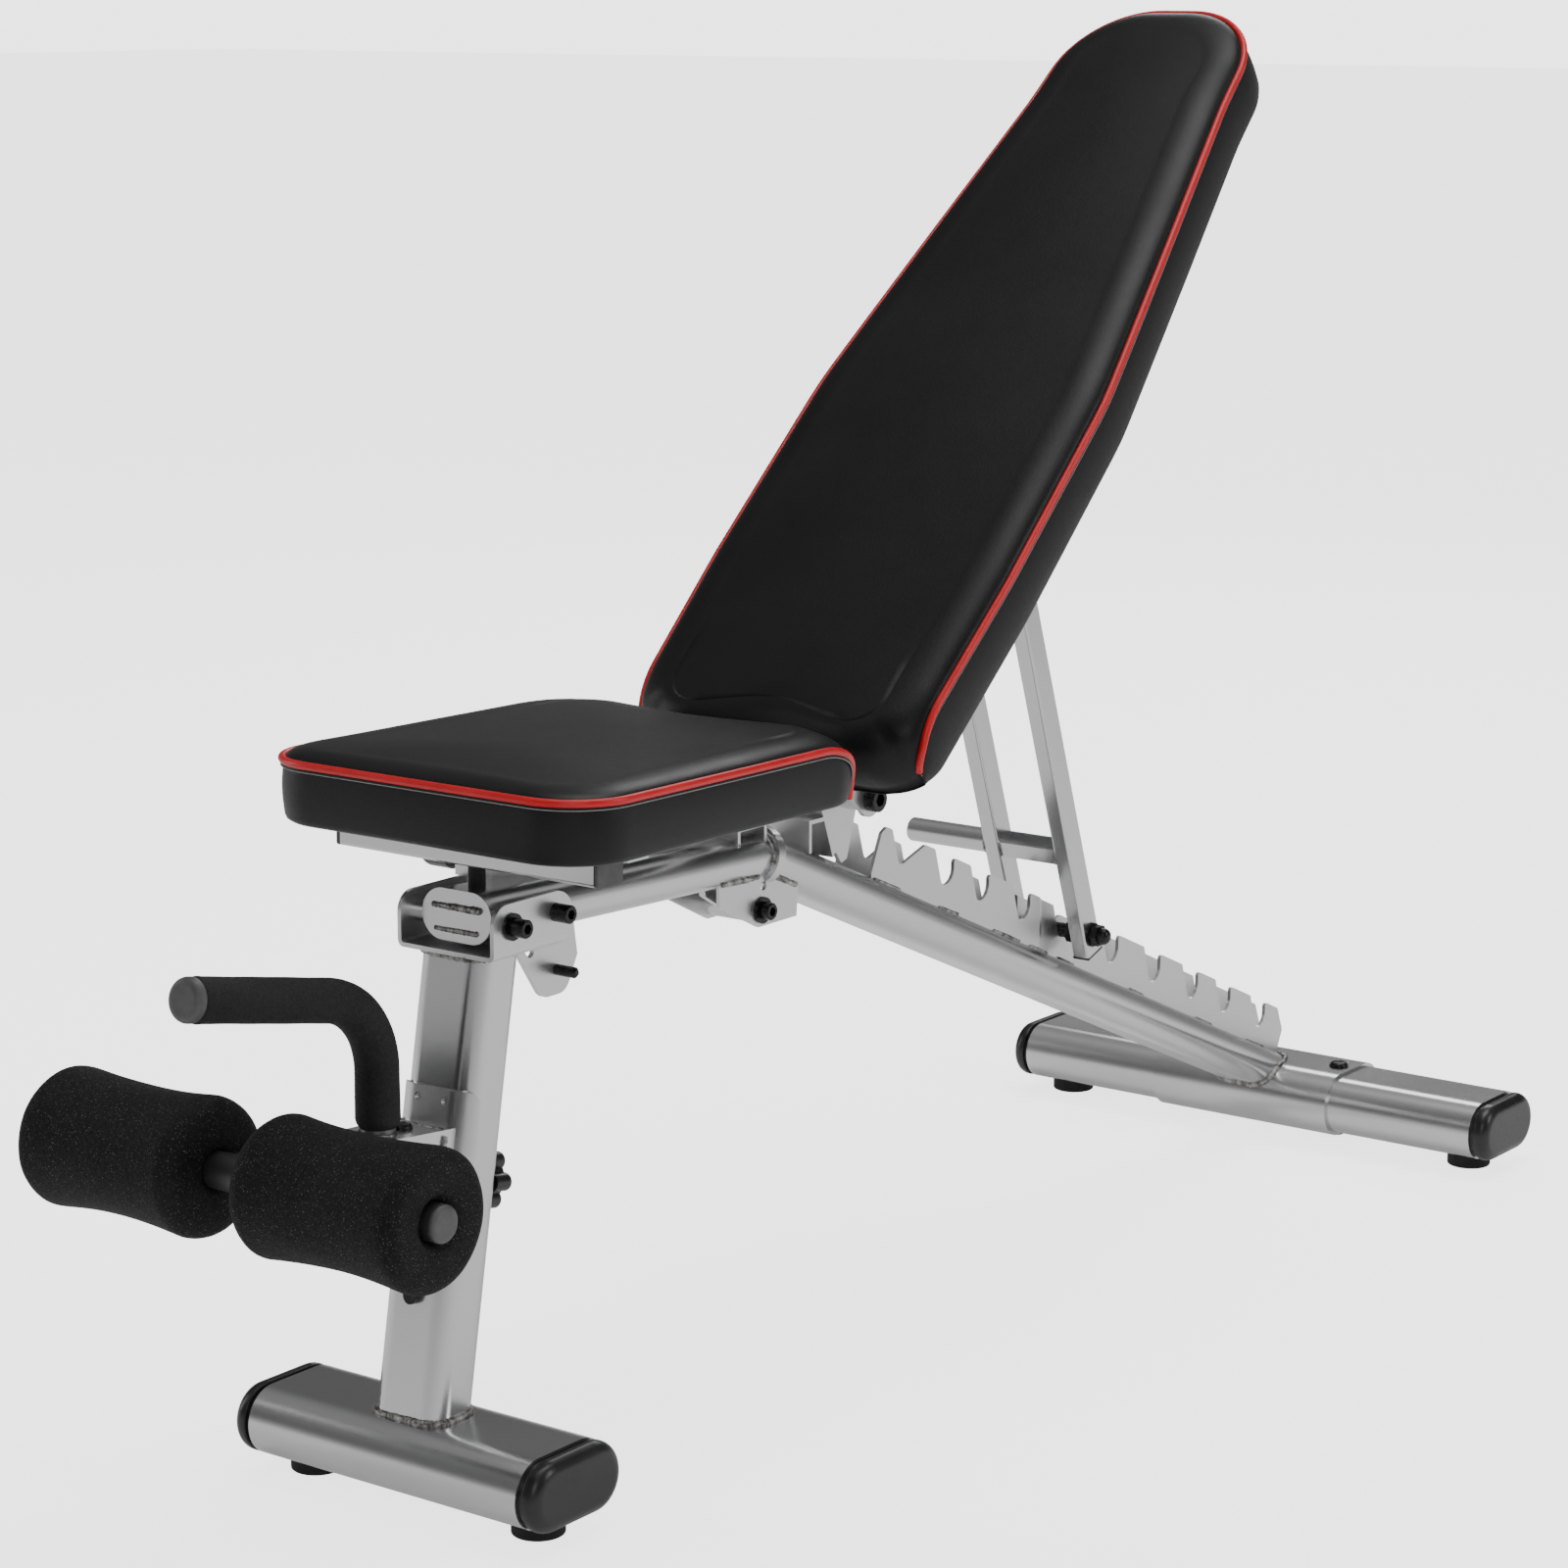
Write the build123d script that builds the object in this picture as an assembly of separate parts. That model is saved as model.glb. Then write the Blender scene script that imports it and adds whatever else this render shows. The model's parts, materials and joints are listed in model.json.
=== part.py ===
"""Decline sit-up bench: flat-oval steel frame, tilting backrest on a notched ladder, tilting seat,
leg hold with two foam rollers and a bent grab handle.

Millimetres, +Z up, floor at Z = 0.  The bench's length runs along Y with the leg hold at -Y, and
all Y values below are measured from the rear floor tube.  The saved parts are moved along Y so
that the origin is under the middle of the whole bench.  Everything is symmetric about X = 0
except the seat lock and the stub handle, which are on the -X side.
"""
from build123d import *
import math
import os

os.makedirs("parts", exist_ok=True)

# ---- driving dimensions ---------------------------------------------------------------------
ORIGIN_Y = 659.9                 # shift of every saved part
WALL = 2.0                       # steel tube wall
GAP = 0.4                        # air left between neighbouring bodies
FIT = 0.1                        # diametral clearance of a hinge pin in its bore

FOOT_W, FOOT_H, FOOT_Z = 95.0, 50.0, 39.0        # flat-oval floor tubes and their axis height
FRONT_FOOT_Y, FRONT_FOOT_HALF, FRONT_PAD_X = -1150.0, 121.5, 101.5
REAR_FOOT_Y, REAR_FOOT_HALF, REAR_PAD_X = 0.0, 229.5, 207.0
CAP_OUT, PAD_D = 16.5, 37.5
SLEEVE_HALF, SLEEVE_T, SLEEVE_BOLT_X = 89.0, 3.0, 75.0

POST_W, POST_T, POST_R = 61.0, 45.0, 15.0
POST_TOP, POST_FOOT = (-1094.0, 380.0), (-1150.0, 66.0)

TUBE_W, TUBE_H = 60.0, 35.0      # flat-oval main tubes
TUBE_START, KNEE, TUBE_END = (-1105.0, 404.4), (-785.0, 392.0), (-15.0, 55.6)
FLANGE_GROW, FLANGE_T = 5.0, 4.0

EAR_X, EAR_T = 43.2, 3.2         # clevis outer half width and sheet thickness
CLEVIS_FRONT, CLEVIS_REAR, CLEVIS_FLOOR_END = -1120.0, -1036.0, -1059.0
CLEVIS_Z, CLEVIS_TOP = 380.0, 418.0
CLEVIS_PIVOT, CLEVIS_LOCK = (-1101.0, 402.0), (-1055.0, 403.5)
KNEE_BOLT = (-797.0, 354.0)

LADDER_TOP = 41.0                # height of the teeth above the rear tube's top line
NOTCHES = [(-606.0, 354.0), (-547.0, 326.5), (-497.0, 304.5), (-436.0, 277.0), (-367.5, 248.6),
           (-291.0, 211.6), (-222.0, 180.8), (-158.0, 153.0), (-101.0, 128.5), (-39.0, 102.0)]
LADDER_X, LADDER_T, LADDER_JOG = 18.0, 3.0, 5.0
PIN_D, PIN_NOTCH = 12.0, 4       # the support pin and the notch it rests in

BACK_PIVOT, BACK_ANGLE = (-690.0, 423.0), 42.3
BACK_PAD_N, PAD_T = 44.0, 45.0   # pivot to the pad's underside; depth of a pad's side band
BACK_PAD_LOW, BACK_PAD_LEN = -36.0, 792.0
RAIL_X, RAIL_T = 43.0, 4.0       # inner face and sheet thickness of the backrest's angle rails

BAR_X, BAR_W, BAR_D = 34.5, 15.0, 22.0
H_PIN, H_LENGTH, H_LEAN = (-367.5, 255.0), 398.0, 19.0

SEAT_HINGE, SEAT_LIFT = (-804.0, 434.0), 0.9     # hinge axis; the seat's resting tilt in degrees
SEAT_Z, SEAT_HALF, SEAT_FRONT, SEAT_REAR = 455.5, 146.0, -1150.0, -817.0
CROSS_Y, CROSS_D, CROSS_H, CROSS_HALF = -1086.5, 27.0, 20.5, 117.0
LOCK_PIN = (-1037.0, 429.0)

ROLLER_AXIS = (-1317.0, 272.0)
ROLLER_D, ROLLER_INNER, ROLLER_OUTER, ROLLER_BAR_D = 94.5, 23.0, 167.0, 25.0
ARM_TIP = 16.0                   # half width of the arm where it holds the roller bar
HANDLE_Y, HANDLE_R, HANDLE_RISE = -1190.5, 58.0, 11.8
HANDLE_D, FOAM_D, HANDLE_TIP = 24.0, 31.0, (-1368.5, 399.7)
CAP_LEN = 7.0                    # length of the grip's end cap
KNOB_Z = 217.0


# ---- helpers --------------------------------------------------------------------------------
def save(name, *shapes):
    """Write one node; several separate solids of one node share a file."""
    moved = [Pos(0, ORIGIN_Y, 0) * s for s in shapes]
    shape = moved[0] if len(moved) == 1 else Compound(children=moved)
    export_step(shape, f"parts/{name}.step")


def biggest(shape):
    return shape.solids().sort_by(SortBy.VOLUME)[-1]


def mirrored(shape):
    return mirror(shape, about=Plane.YZ)


def both_sides(shape):
    return [shape, mirrored(shape)]


def side(face, x0, x1):
    """Extrude a flat face drawn in Y-Z between two X positions."""
    return extrude(Plane.YZ.offset(min(x0, x1)) * face, abs(x1 - x0), dir=(1, 0, 0))


def plate(points, x0, x1):
    return side(Polygon(*points, align=None), x0, x1)


def rod(yz, x0, x1, diameter):
    """Round bar along X."""
    return side(Pos(*yz) * Circle(diameter / 2), x0, x1)


def hexagon(yz, x0, x1, across_flats):
    return side(Pos(*yz) * RegularPolygon(across_flats / 2, 6, major_radius=False), x0, x1)


def distance(a, b):
    return math.hypot(b[0] - a[0], b[1] - a[1])


def toward(a, b, s):
    """Point at distance s from a in the direction of b."""
    d = distance(a, b)
    return (a[0] + (b[0] - a[0]) * s / d, a[1] + (b[1] - a[1]) * s / d)


def axis_plane(start, end):
    """Plane at start, facing end, whose own X is the world's X."""
    return Plane(origin=(0, *start), x_dir=(1, 0, 0), z_dir=(0, end[0] - start[0], end[1] - start[1]))


def oval_bar(start, end, grow=0.0):
    """Main tube's outer form between two Y-Z points, grown or shrunk all round."""
    section = SlotOverall(TUBE_W + 2 * grow, TUBE_H + 2 * grow)
    return extrude(axis_plane(start, end) * section, distance(start, end))


def foot_bar(y, half, grow=0.0):
    return side(Pos(y, FOOT_Z) * SlotOverall(FOOT_W + 2 * grow, FOOT_H + 2 * grow), -half, half)


def screw_head(yz, x, diameter, height, washer_d=0.0):
    """Socket-head screw head standing on the plane at x, with an optional washer under it."""
    washer_t = 2.0 if washer_d else 0.0
    top = x + washer_t + height
    head = rod(yz, x + washer_t, top, diameter)
    head = chamfer(head.edges().group_by(Axis.X)[-1], 0.8)
    head -= hexagon(yz, top - height * 0.55, top + 1, diameter * 0.5)
    return head + rod(yz, x, x + washer_t, washer_d) if washer_d else head


def cross_bolt(yz, half, shank, head_d, head_h, washer_d=0.0, nut_af=13.0):
    """Bolt along X that clamps between -half and +half: head at +X, lock nut at -X."""
    bolt = rod(yz, -half - 9, half + 3, shank) + screw_head(yz, half, head_d, head_h, washer_d)
    return bolt + hexagon(yz, -half - 7.5, -half, nut_af)


# ---- floor tubes ----------------------------------------------------------------------------
def floor_cap(y, half):
    """Domed plastic cap: a plug inside the tube, a sunken neck band and a rounded lid."""
    plug = side(Pos(y, FOOT_Z) * SlotOverall(FOOT_W - 2 * WALL - 0.2, FOOT_H - 2 * WALL - 0.2),
                half - 16, half)
    neck = side(Pos(y, FOOT_Z) * SlotOverall(FOOT_W - 5, FOOT_H - 5), half, half + 4)
    lid = side(Pos(y, FOOT_Z) * SlotOverall(FOOT_W, FOOT_H), half + 4, half + CAP_OUT)
    lid = fillet(lid.edges().group_by(Axis.X)[-1], 9.0)
    return plug + neck + fillet(lid.edges().group_by(Axis.X)[0], 1.5)


def rubber_foot(x, y):
    foot = Pos(x, y, 9) * Cylinder(PAD_D / 2, 18)
    foot = fillet(foot.edges().group_by(Axis.Z)[0], 1.5)
    return foot - foot_bar(y, 300)


def build_floor_tubes():
    caps, feet = [], []
    for end, y, half, pad_x in (("front", FRONT_FOOT_Y, FRONT_FOOT_HALF, FRONT_PAD_X),
                                ("rear", REAR_FOOT_Y, REAR_FOOT_HALF, REAR_PAD_X)):
        tube = foot_bar(y, half) - foot_bar(y, half, -WALL)
        if end == "rear":
            for x in (-SLEEVE_BOLT_X, SLEEVE_BOLT_X):
                tube -= Pos(x, y, FOOT_Z) * Cylinder(4.2, 80)
        save(f"{end}_foot_tube", tube)
        caps += both_sides(floor_cap(y, half))
        feet += both_sides(rubber_foot(pad_x, y))
    save("foot_tube_caps", *caps)
    save("rubber_feet", *feet)


def build_sleeve():
    """Flat-oval sleeve around the rear floor tube, bolted through it twice."""
    sleeve = foot_bar(REAR_FOOT_Y, SLEEVE_HALF, SLEEVE_T) - foot_bar(REAR_FOOT_Y, SLEEVE_HALF)
    for x in (-SLEEVE_BOLT_X, SLEEVE_BOLT_X):
        sleeve -= Pos(x, REAR_FOOT_Y, FOOT_Z) * Cylinder(4.2, 80)
    save("rear_sleeve", sleeve)
    top, bottom = FOOT_Z + FOOT_H / 2 + SLEEVE_T, FOOT_Z - FOOT_H / 2 - SLEEVE_T
    head = Pos(SLEEVE_BOLT_X, REAR_FOOT_Y, top + 2.25) * Cylinder(8.5, 4.5)
    head = fillet(head.edges().group_by(Axis.Z)[-1], 4.0)
    nut = Pos(SLEEVE_BOLT_X, REAR_FOOT_Y, bottom - 3.5) * Cylinder(7.0, 7)
    nut = fillet(nut.edges().group_by(Axis.Z)[0], 3.0)
    shank = Pos(SLEEVE_BOLT_X, REAR_FOOT_Y, FOOT_Z) * Cylinder(4.0, top - bottom)
    save("sleeve_bolts", *both_sides(head + shank + nut))


# ---- front post and clevis ------------------------------------------------------------------
def post_bar(grow=0.0, extra=0.0):
    """Leaning front post, run on at both ends by extra."""
    start, end = toward(POST_TOP, POST_FOOT, -extra), toward(POST_FOOT, POST_TOP, -extra)
    section = RectangleRounded(POST_W + 2 * grow, POST_T + 2 * grow, POST_R + grow)
    return extrude(axis_plane(start, end) * section, distance(start, end))


def build_post():
    post = post_bar(0, 20) - post_bar(-WALL, 30)
    post -= foot_bar(FRONT_FOOT_Y, 300)
    post -= Pos(0, POST_FOOT[0], 0) * Box(200, 200, 2 * FOOT_Z)
    post -= Pos(0, POST_TOP[0], CLEVIS_Z + 50) * Box(200, 200, 100)
    save("front_post", biggest(post))


def build_clevis():
    """Sheet-metal U whose floor sits on the post and whose ears hold the front tube's end."""
    outer = Pos(0, CLEVIS_Z + 30) * Rectangle(2 * EAR_X, 60)
    outer = fillet(outer.vertices().group_by(Axis.Y)[0], 5.0)
    inner = Pos(0, CLEVIS_Z + EAR_T + 30) * Rectangle(2 * (EAR_X - EAR_T), 60)
    inner = fillet(inner.vertices().group_by(Axis.Y)[0], 1.8)
    channel = extrude(Plane.XZ * (outer - inner), CLEVIS_REAR - CLEVIS_FRONT)
    channel = Pos(0, CLEVIS_REAR, 0) * channel
    ear = Polygon((CLEVIS_FRONT, CLEVIS_Z - 1), (CLEVIS_REAR, CLEVIS_Z - 1), (CLEVIS_REAR, CLEVIS_TOP),
                  (CLEVIS_FRONT, CLEVIS_TOP), align=None)
    rear_corners = ear.vertices().group_by(Axis.X)[-1]
    ear = fillet(rear_corners, 19.0)
    ear = fillet(ear.vertices().sort_by(Axis.Y)[-2:].sort_by(Axis.X)[0], 14.0)
    clevis = channel & side(ear, -60, 60)
    clevis -= Pos(0, CLEVIS_FLOOR_END + 50, CLEVIS_Z) * Box(2 * (EAR_X - EAR_T), 100, 30)
    clevis -= rod(CLEVIS_PIVOT, -60, 60, 8.0)
    clevis -= rod(CLEVIS_LOCK, -60, 60, 8.0)
    save("clevis", biggest(clevis))
    save("clevis_pivot_bolt", cross_bolt(CLEVIS_PIVOT, EAR_X, 8, 13, 12, washer_d=19))
    save("clevis_lock_bolt", cross_bolt(CLEVIS_LOCK, EAR_X, 8, 13, 14))


# ---- main tubes -----------------------------------------------------------------------------
def knee_plane(offset=0.0):
    """Plane that bisects the two main tubes, moved along its own normal."""
    a, b = toward((0, 0), (KNEE[0] - TUBE_START[0], KNEE[1] - TUBE_START[1]), 1), \
        toward((0, 0), (TUBE_END[0] - KNEE[0], TUBE_END[1] - KNEE[1]), 1)
    normal = toward((0, 0), (a[0] + b[0], a[1] + b[1]), 1)
    origin = (0, KNEE[0] + normal[0] * offset, KNEE[1] + normal[1] * offset)
    return Plane(origin=origin, x_dir=(1, 0, 0), z_dir=(0, *normal))


def knee_flange(offset):
    section = SlotOverall(TUBE_W + 2 * FLANGE_GROW, TUBE_H + 2 * FLANGE_GROW)
    return extrude(knee_plane(offset) * section, FLANGE_T)


def beyond_knee(offset, way):
    return extrude(knee_plane(offset) * Rectangle(400, 400), 100 * way)


def tube_solids():
    """Both main tubes and the flanges as solid bars, for coping other parts against."""
    return (oval_bar(TUBE_START, KNEE) + oval_bar(KNEE, TUBE_END)
            + knee_flange(-FLANGE_T) + knee_flange(0))


def build_main_tubes():
    past = toward(KNEE, TUBE_START, -20)
    front = oval_bar(TUBE_START, past) - oval_bar(toward(TUBE_START, KNEE, -5), past, -WALL)
    front -= beyond_knee(-FLANGE_T, 1)
    front -= rod(CLEVIS_LOCK, -60, 60, 8) + rod(CLEVIS_PIVOT, -60, 60, 14)
    save("front_tube", front)
    end = extrude(axis_plane(TUBE_START, KNEE) * SlotOverall(TUBE_W + 2, TUBE_H + 1), -3)
    bushing = rod(CLEVIS_PIVOT, -EAR_X + EAR_T, EAR_X - EAR_T, 14) - rod(CLEVIS_PIVOT, -60, 60, 8)
    save("front_tube_end", end - rod(CLEVIS_PIVOT, -60, 60, 14), bushing)
    save("knee_flanges", knee_flange(-FLANGE_T), knee_flange(0))
    before = toward(KNEE, TUBE_END, -20)
    rear = oval_bar(before, TUBE_END) - oval_bar(before, toward(TUBE_END, KNEE, -5), -WALL)
    rear -= beyond_knee(FLANGE_T, -1)
    save("rear_tube", biggest(rear - foot_bar(REAR_FOOT_Y, SLEEVE_HALF, SLEEVE_T)))


def build_knee_bracket():
    """Two gusset plates under the knee, a bushing on a web between them, and one bolt."""
    outline = [(-848, 385), (-848, 365), (-801, 341.6), (-754, 341.6), (-751, 375), (-797, 390)]
    gusset = plate(outline, 22, 25) - tube_solids() - rod(KNEE_BOLT, 0, 60, 8.0)
    gusset = biggest(gusset - rod((-795, 372), 0, 60, 7))
    save("knee_gussets", *both_sides(gusset))
    bushing = rod(KNEE_BOLT, -22, 22, 20)
    web = plate([(-840, 385), (-836, 368), (-806, 350), (-790, 356), (-793, 385)], -3, 3)
    web = biggest(web + bushing - tube_solids() - rod(KNEE_BOLT, -60, 60, 8.0))
    save("knee_bushing", web)
    save("knee_bolt", cross_bolt(KNEE_BOLT, 25, 8, 13, 8, washer_d=20))


def build_keeper():
    """Rounded keeper plate under the front tube with a black pin standing out of it."""
    outline = Polygon((-1064, 392), (-1021, 329), (-995, 329), (-982, 354), (-988, 392), align=None)
    outline = fillet(outline.vertices().sort_by(Axis.Y)[:2], 13.0)
    slot = Pos(-1037, 369.5) * Rot(0, 0, -50) * SlotOverall(20, 8)
    keeper = side(outline - slot, -2.5, 1.5) - oval_bar(TUBE_START, KNEE)
    pin_at = (-1005.0, 347.0)
    save("keeper_plate", biggest(keeper - rod(pin_at, -20, 20, 8)))
    pin = chamfer(rod(pin_at, -8, 20, 8).edges().group_by(Axis.X)[-1], 1.8)
    save("keeper_pin", pin + rod(pin_at, -9, -2.5, 16))


# ---- ladder ---------------------------------------------------------------------------------
TUBE_SLOPE = math.atan2(KNEE[1] - TUBE_END[1], TUBE_END[0] - KNEE[0])


def above_tube(y, n):
    """Point at Y position y, n above the rear tube's top line, measured square to the tube."""
    rise = (TUBE_H / 2 + n) / math.cos(TUBE_SLOPE)
    return (y, KNEE[1] - (y - KNEE[0]) * math.tan(TUBE_SLOPE) + rise)


def notch_cut(bottom, ramp):
    """Open notch: steep leaning front wall, round bottom, then a curved rear wall or a ramp."""
    y, z = bottom
    lean, small, big, reach = math.radians(16.7), 6.4, 12.0, 70.0
    left = (y - small * math.cos(lean), z + small - small * math.sin(lean))
    left_top = (left[0] - reach * math.sin(lean), left[1] + reach * math.cos(lean))
    if ramp:
        slope = math.radians(17.0)
        start = (y + small * math.sin(slope), z + small - small * math.cos(slope))
        floor = CenterArc((y, z + small), small, 196.7, 73.3 + 17.0)
        end = (start[0] + reach, start[1] + reach * math.tan(slope))
        rear = [Line(start, end)]
    else:
        floor = CenterArc((y, z + small), small, 196.7, 73.3)
        end = (y + big, z + big)
        rear = [CenterArc((y, z + big), big, 270, 90)]
    corner = (end[0], left_top[1])
    return make_face([Line(left_top, left), floor, *rear, Line(end, corner), Line(corner, left_top)])


def build_ladder():
    """Two notched plates along the rear tube; the rear half of each is set inwards."""
    front, rear = -648.0, 3.0
    top_front, top_rear = above_tube(-627.0, LADDER_TOP), above_tube(-4.0, LADDER_TOP - 2)
    outline = Polygon(above_tube(front, 2), above_tube(-634, LADDER_TOP - 6), top_front, top_rear,
                      (rear + 2, top_rear[1] - 22), (-7, 66), (-60, 80), above_tube(front, -6), align=None)
    for i, bottom in enumerate(NOTCHES):
        outline -= notch_cut(bottom, ramp=i in (0, PIN_NOTCH))
    slab = side(outline, 0, 30)
    noses = slab.edges().filter_by(Axis.X).filter_by(lambda e: tooth_tip(e.center()))
    slab = fillet(noses, 3.0)
    out, inn, jog = LADDER_X, LADDER_X - LADDER_T, LADDER_JOG
    plan = Polygon((out, front - 5), (out, -410), (out - jog, -399), (out - jog, rear + 9),
                   (inn - jog, rear + 9), (inn - jog, -400.3), (inn, -411.3), (inn, front - 5), align=None)
    ladder = slab & extrude(plan, 450, dir=(0, 0, 1))
    ladder = biggest(ladder - oval_bar(KNEE, (10.0, 44.7)) - tube_sleeve())
    save("ladder_plates", *both_sides(ladder))


def tooth_tip(point):
    level = above_tube(point.Y, 0)[1]
    return point.Z - level > (LADDER_TOP - 8) / math.cos(TUBE_SLOPE)


def tube_sleeve():
    return foot_bar(REAR_FOOT_Y, SLEEVE_HALF, SLEEVE_T)


# ---- brackets on the main tubes -------------------------------------------------------------
def build_back_bracket():
    """Upright that carries the backrest's pivot: two walls, a front web and a cross tube."""
    y, z = BACK_PIVOT
    wall = make_hull([*Polygon((-718, 413), (-712, 392), (-697, 372), (-690, 374), align=None).edges(),
                      *(Pos(y, z) * Circle(15)).edges()])
    walls = side(wall, 21, 25)
    web = plate([(-722, 416), (-719, 416), (-704, 382), (-708, 378)], -25, 25)
    web += plate([(-722, 414), (-704, 414), (-704, 416.5), (-722, 416.5)], -25, 25)
    foot = plate([(-738, 386), (-735, 386), (-735, 411), (-738, 411)], -25, 25)
    foot += plate([(-738, 408), (-712, 408), (-712, 411), (-738, 411)], -25, 25)
    tube = rod(BACK_PIVOT, -RAIL_X + GAP, RAIL_X - GAP, 20)
    bracket = walls + mirrored(walls) + web + foot + tube
    bracket -= tube_solids()
    save("backrest_bracket", biggest(bracket - rod(BACK_PIVOT, -60, 60, 12 + FIT)))


def build_seat_bracket():
    """Welded saddle with two cross webs, a deck and two ears around the seat's hinge tube."""
    y, z = SEAT_HINGE
    bracket = plate([(-826, 400), (-823, 400), (-823, 420), (-826, 420)], -25, 25)
    bracket += plate([(-794, 396), (-791, 396), (-791, 420), (-794, 420)], -25, 25)
    bracket += plate([(-826, 417), (-791, 417), (-791, 420), (-826, 420)], -25, 25)
    ear = make_hull([*Polygon((-820, 419), (-791, 419), (-804, 430), align=None).edges(),
                     *(Pos(y, z) * Circle(9)).edges()])
    ears = side(ear, 18, 21)
    bracket += ears + mirrored(ears) + rod(SEAT_HINGE, -25, 25, 15)
    bracket -= oval_bar(TUBE_START, KNEE)
    save("seat_hinge_bracket", biggest(bracket - rod(SEAT_HINGE, -60, 60, 8 + FIT)))


def seat_level(y, z):
    """Where a point drawn on the level seat lands once the seat is tilted about its hinge."""
    a, dy, dz = math.radians(SEAT_LIFT), y - SEAT_HINGE[0], z - SEAT_HINGE[1]
    return (SEAT_HINGE[0] + dy * math.cos(a) + dz * math.sin(a),
            SEAT_HINGE[1] - dy * math.sin(a) + dz * math.cos(a))


def build_bumper():
    floor_z = TUBE_START[1] + TUBE_H / 2 - (CROSS_Y - TUBE_START[0]) * 0.0388
    top = seat_level(CROSS_Y + CROSS_D / 2, SEAT_Z - 2 - CROSS_H)[1] - GAP
    bumper = Pos(0, CROSS_Y, (floor_z - 2 + top) / 2) * Cylinder(6, top - floor_z + 2)
    bumper = fillet(bumper.edges().group_by(Axis.Z)[-1], 1.5) - oval_bar(TUBE_START, KNEE)
    save("seat_bumper", bumper)


def build_lock_bracket():
    """Small U bracket standing on the front tube; its outer wall carries the pull pin."""
    y = LOCK_PIN[0]
    base = 416.0
    outer = plate([(y - 22, base + 3), (y + 15, base + 3), (y + 15, 452), (y - 22, 452)], -44, -41)
    inner = plate([(y - 22, base), (y + 15, base), (y + 15, 452), (y - 22, 452)], -13, -10)
    web = plate([(y - 22, base + 3), (y - 19, base + 3), (y - 19, 452), (y - 22, 452)], -44, -10)
    bracket = outer + inner + web - oval_bar(TUBE_START, KNEE)
    save("seat_lock_bracket", biggest(bracket - rod(LOCK_PIN, -60, -30, 12)))
    collar = rod(LOCK_PIN, -52, -41, 12) + hexagon(LOCK_PIN, -52, -44, 17)
    save("seat_lock_collar", collar - rod(LOCK_PIN, -60, -30, 7.5))


# ---- leg hold -------------------------------------------------------------------------------
def post_point(z, out):
    """Point out in front of the post's centre line at height z."""
    lean = (POST_TOP[0] - POST_FOOT[0]) / (POST_TOP[1] - POST_FOOT[1])
    return (POST_TOP[0] - (POST_TOP[1] - z) * lean - out, z)


def build_leg_hold():
    """Saddle wrapped around the front of the post, an arm to the roller bar, and their bolts."""
    shell = post_bar(3.0) - post_bar(0.0, 5)
    top_z, low_z, rear_out = 291.0, 163.0, 12.0
    keep = Polygon(post_point(top_z, 40), post_point(top_z, rear_out),
                   post_point(low_z, rear_out), post_point(low_z, 40), align=None)
    keep = fillet(keep.vertices().sort_by(Axis.X)[-2:], 10.0)
    saddle = biggest(shell & side(keep, -60, 60))
    for x in (-12, 12):
        dimple_y = post_point(283, POST_T / 2 + 3)[0]
        saddle -= Pos(x, dimple_y, 283) * Rot(80, 0, 0) * Cylinder(3, 3)
    save("leg_saddle", biggest(saddle))
    outer = extrude(arm_plan(), 400, dir=(0, 0, 1))
    arm = side(arm_outline(), -23, 23) & outer
    arm -= side(offset(arm_outline(), -2.0), -21, 21) & extrude(offset(arm_plan(), -2.0), 400, dir=(0, 0, 1))
    arm -= post_bar(3.0)
    save("leg_arm", biggest(arm - rod(ROLLER_AXIS, -60, 60, ROLLER_BAR_D)))
    bar = rod(ROLLER_AXIS, -ROLLER_OUTER - 1, ROLLER_OUTER + 1, ROLLER_BAR_D)
    bar -= rod(ROLLER_AXIS, -200, 200, ROLLER_BAR_D - 4)
    save("roller_bar", bar)
    plug = rod(ROLLER_AXIS, ROLLER_OUTER + 1, ROLLER_OUTER + 5, ROLLER_BAR_D)
    plug = fillet(plug.edges().group_by(Axis.X)[-1], 3.0)
    plug += rod(ROLLER_AXIS, ROLLER_OUTER - 14, ROLLER_OUTER + 1, ROLLER_BAR_D - 4.2)
    save("roller_bar_plugs", *both_sides(plug))
    low = Pos(0, *post_point(149, POST_T / 2)) * Rot(80, 0, 0) * Cylinder(6, 10)
    low = biggest(low - post_bar())
    dome = Pos(0, -1168, arm_top(-1168) + 2) * Cylinder(8, 4)
    dome = fillet(dome.edges().group_by(Axis.Z)[-1], 3.0)
    save("leg_arm_bolts", low, biggest(dome - side(arm_outline(), -23, 23)))


def arm_top(y):
    near, far = post_point(266, POST_T / 2 + 3), (ROLLER_AXIS[0] + 8, ROLLER_AXIS[1] + 11)
    return near[1] + (far[1] - near[1]) * (y - near[0]) / (far[0] - near[0])


def arm_outline():
    """Side view of the arm from the saddle out to the roller bar, deeper at the post."""
    return Polygon(post_point(266, POST_T / 2 - 4), (ROLLER_AXIS[0] + 8, ROLLER_AXIS[1] + 11),
                   (ROLLER_AXIS[0] - 4, ROLLER_AXIS[1] - 12), post_point(238, POST_T / 2 - 4), align=None)


def arm_plan():
    """Plan of the arm: full width at the saddle, narrowing to fit between the rollers."""
    tip_y, neck_y, root_y = ROLLER_AXIS[0] - 30, -1262.0, -1100.0
    return Polygon((-ARM_TIP, tip_y), (ARM_TIP, tip_y), (ARM_TIP, neck_y), (23, -1185), (23, root_y),
                   (-23, root_y), (-23, -1185), (-ARM_TIP, neck_y), align=None)


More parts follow.
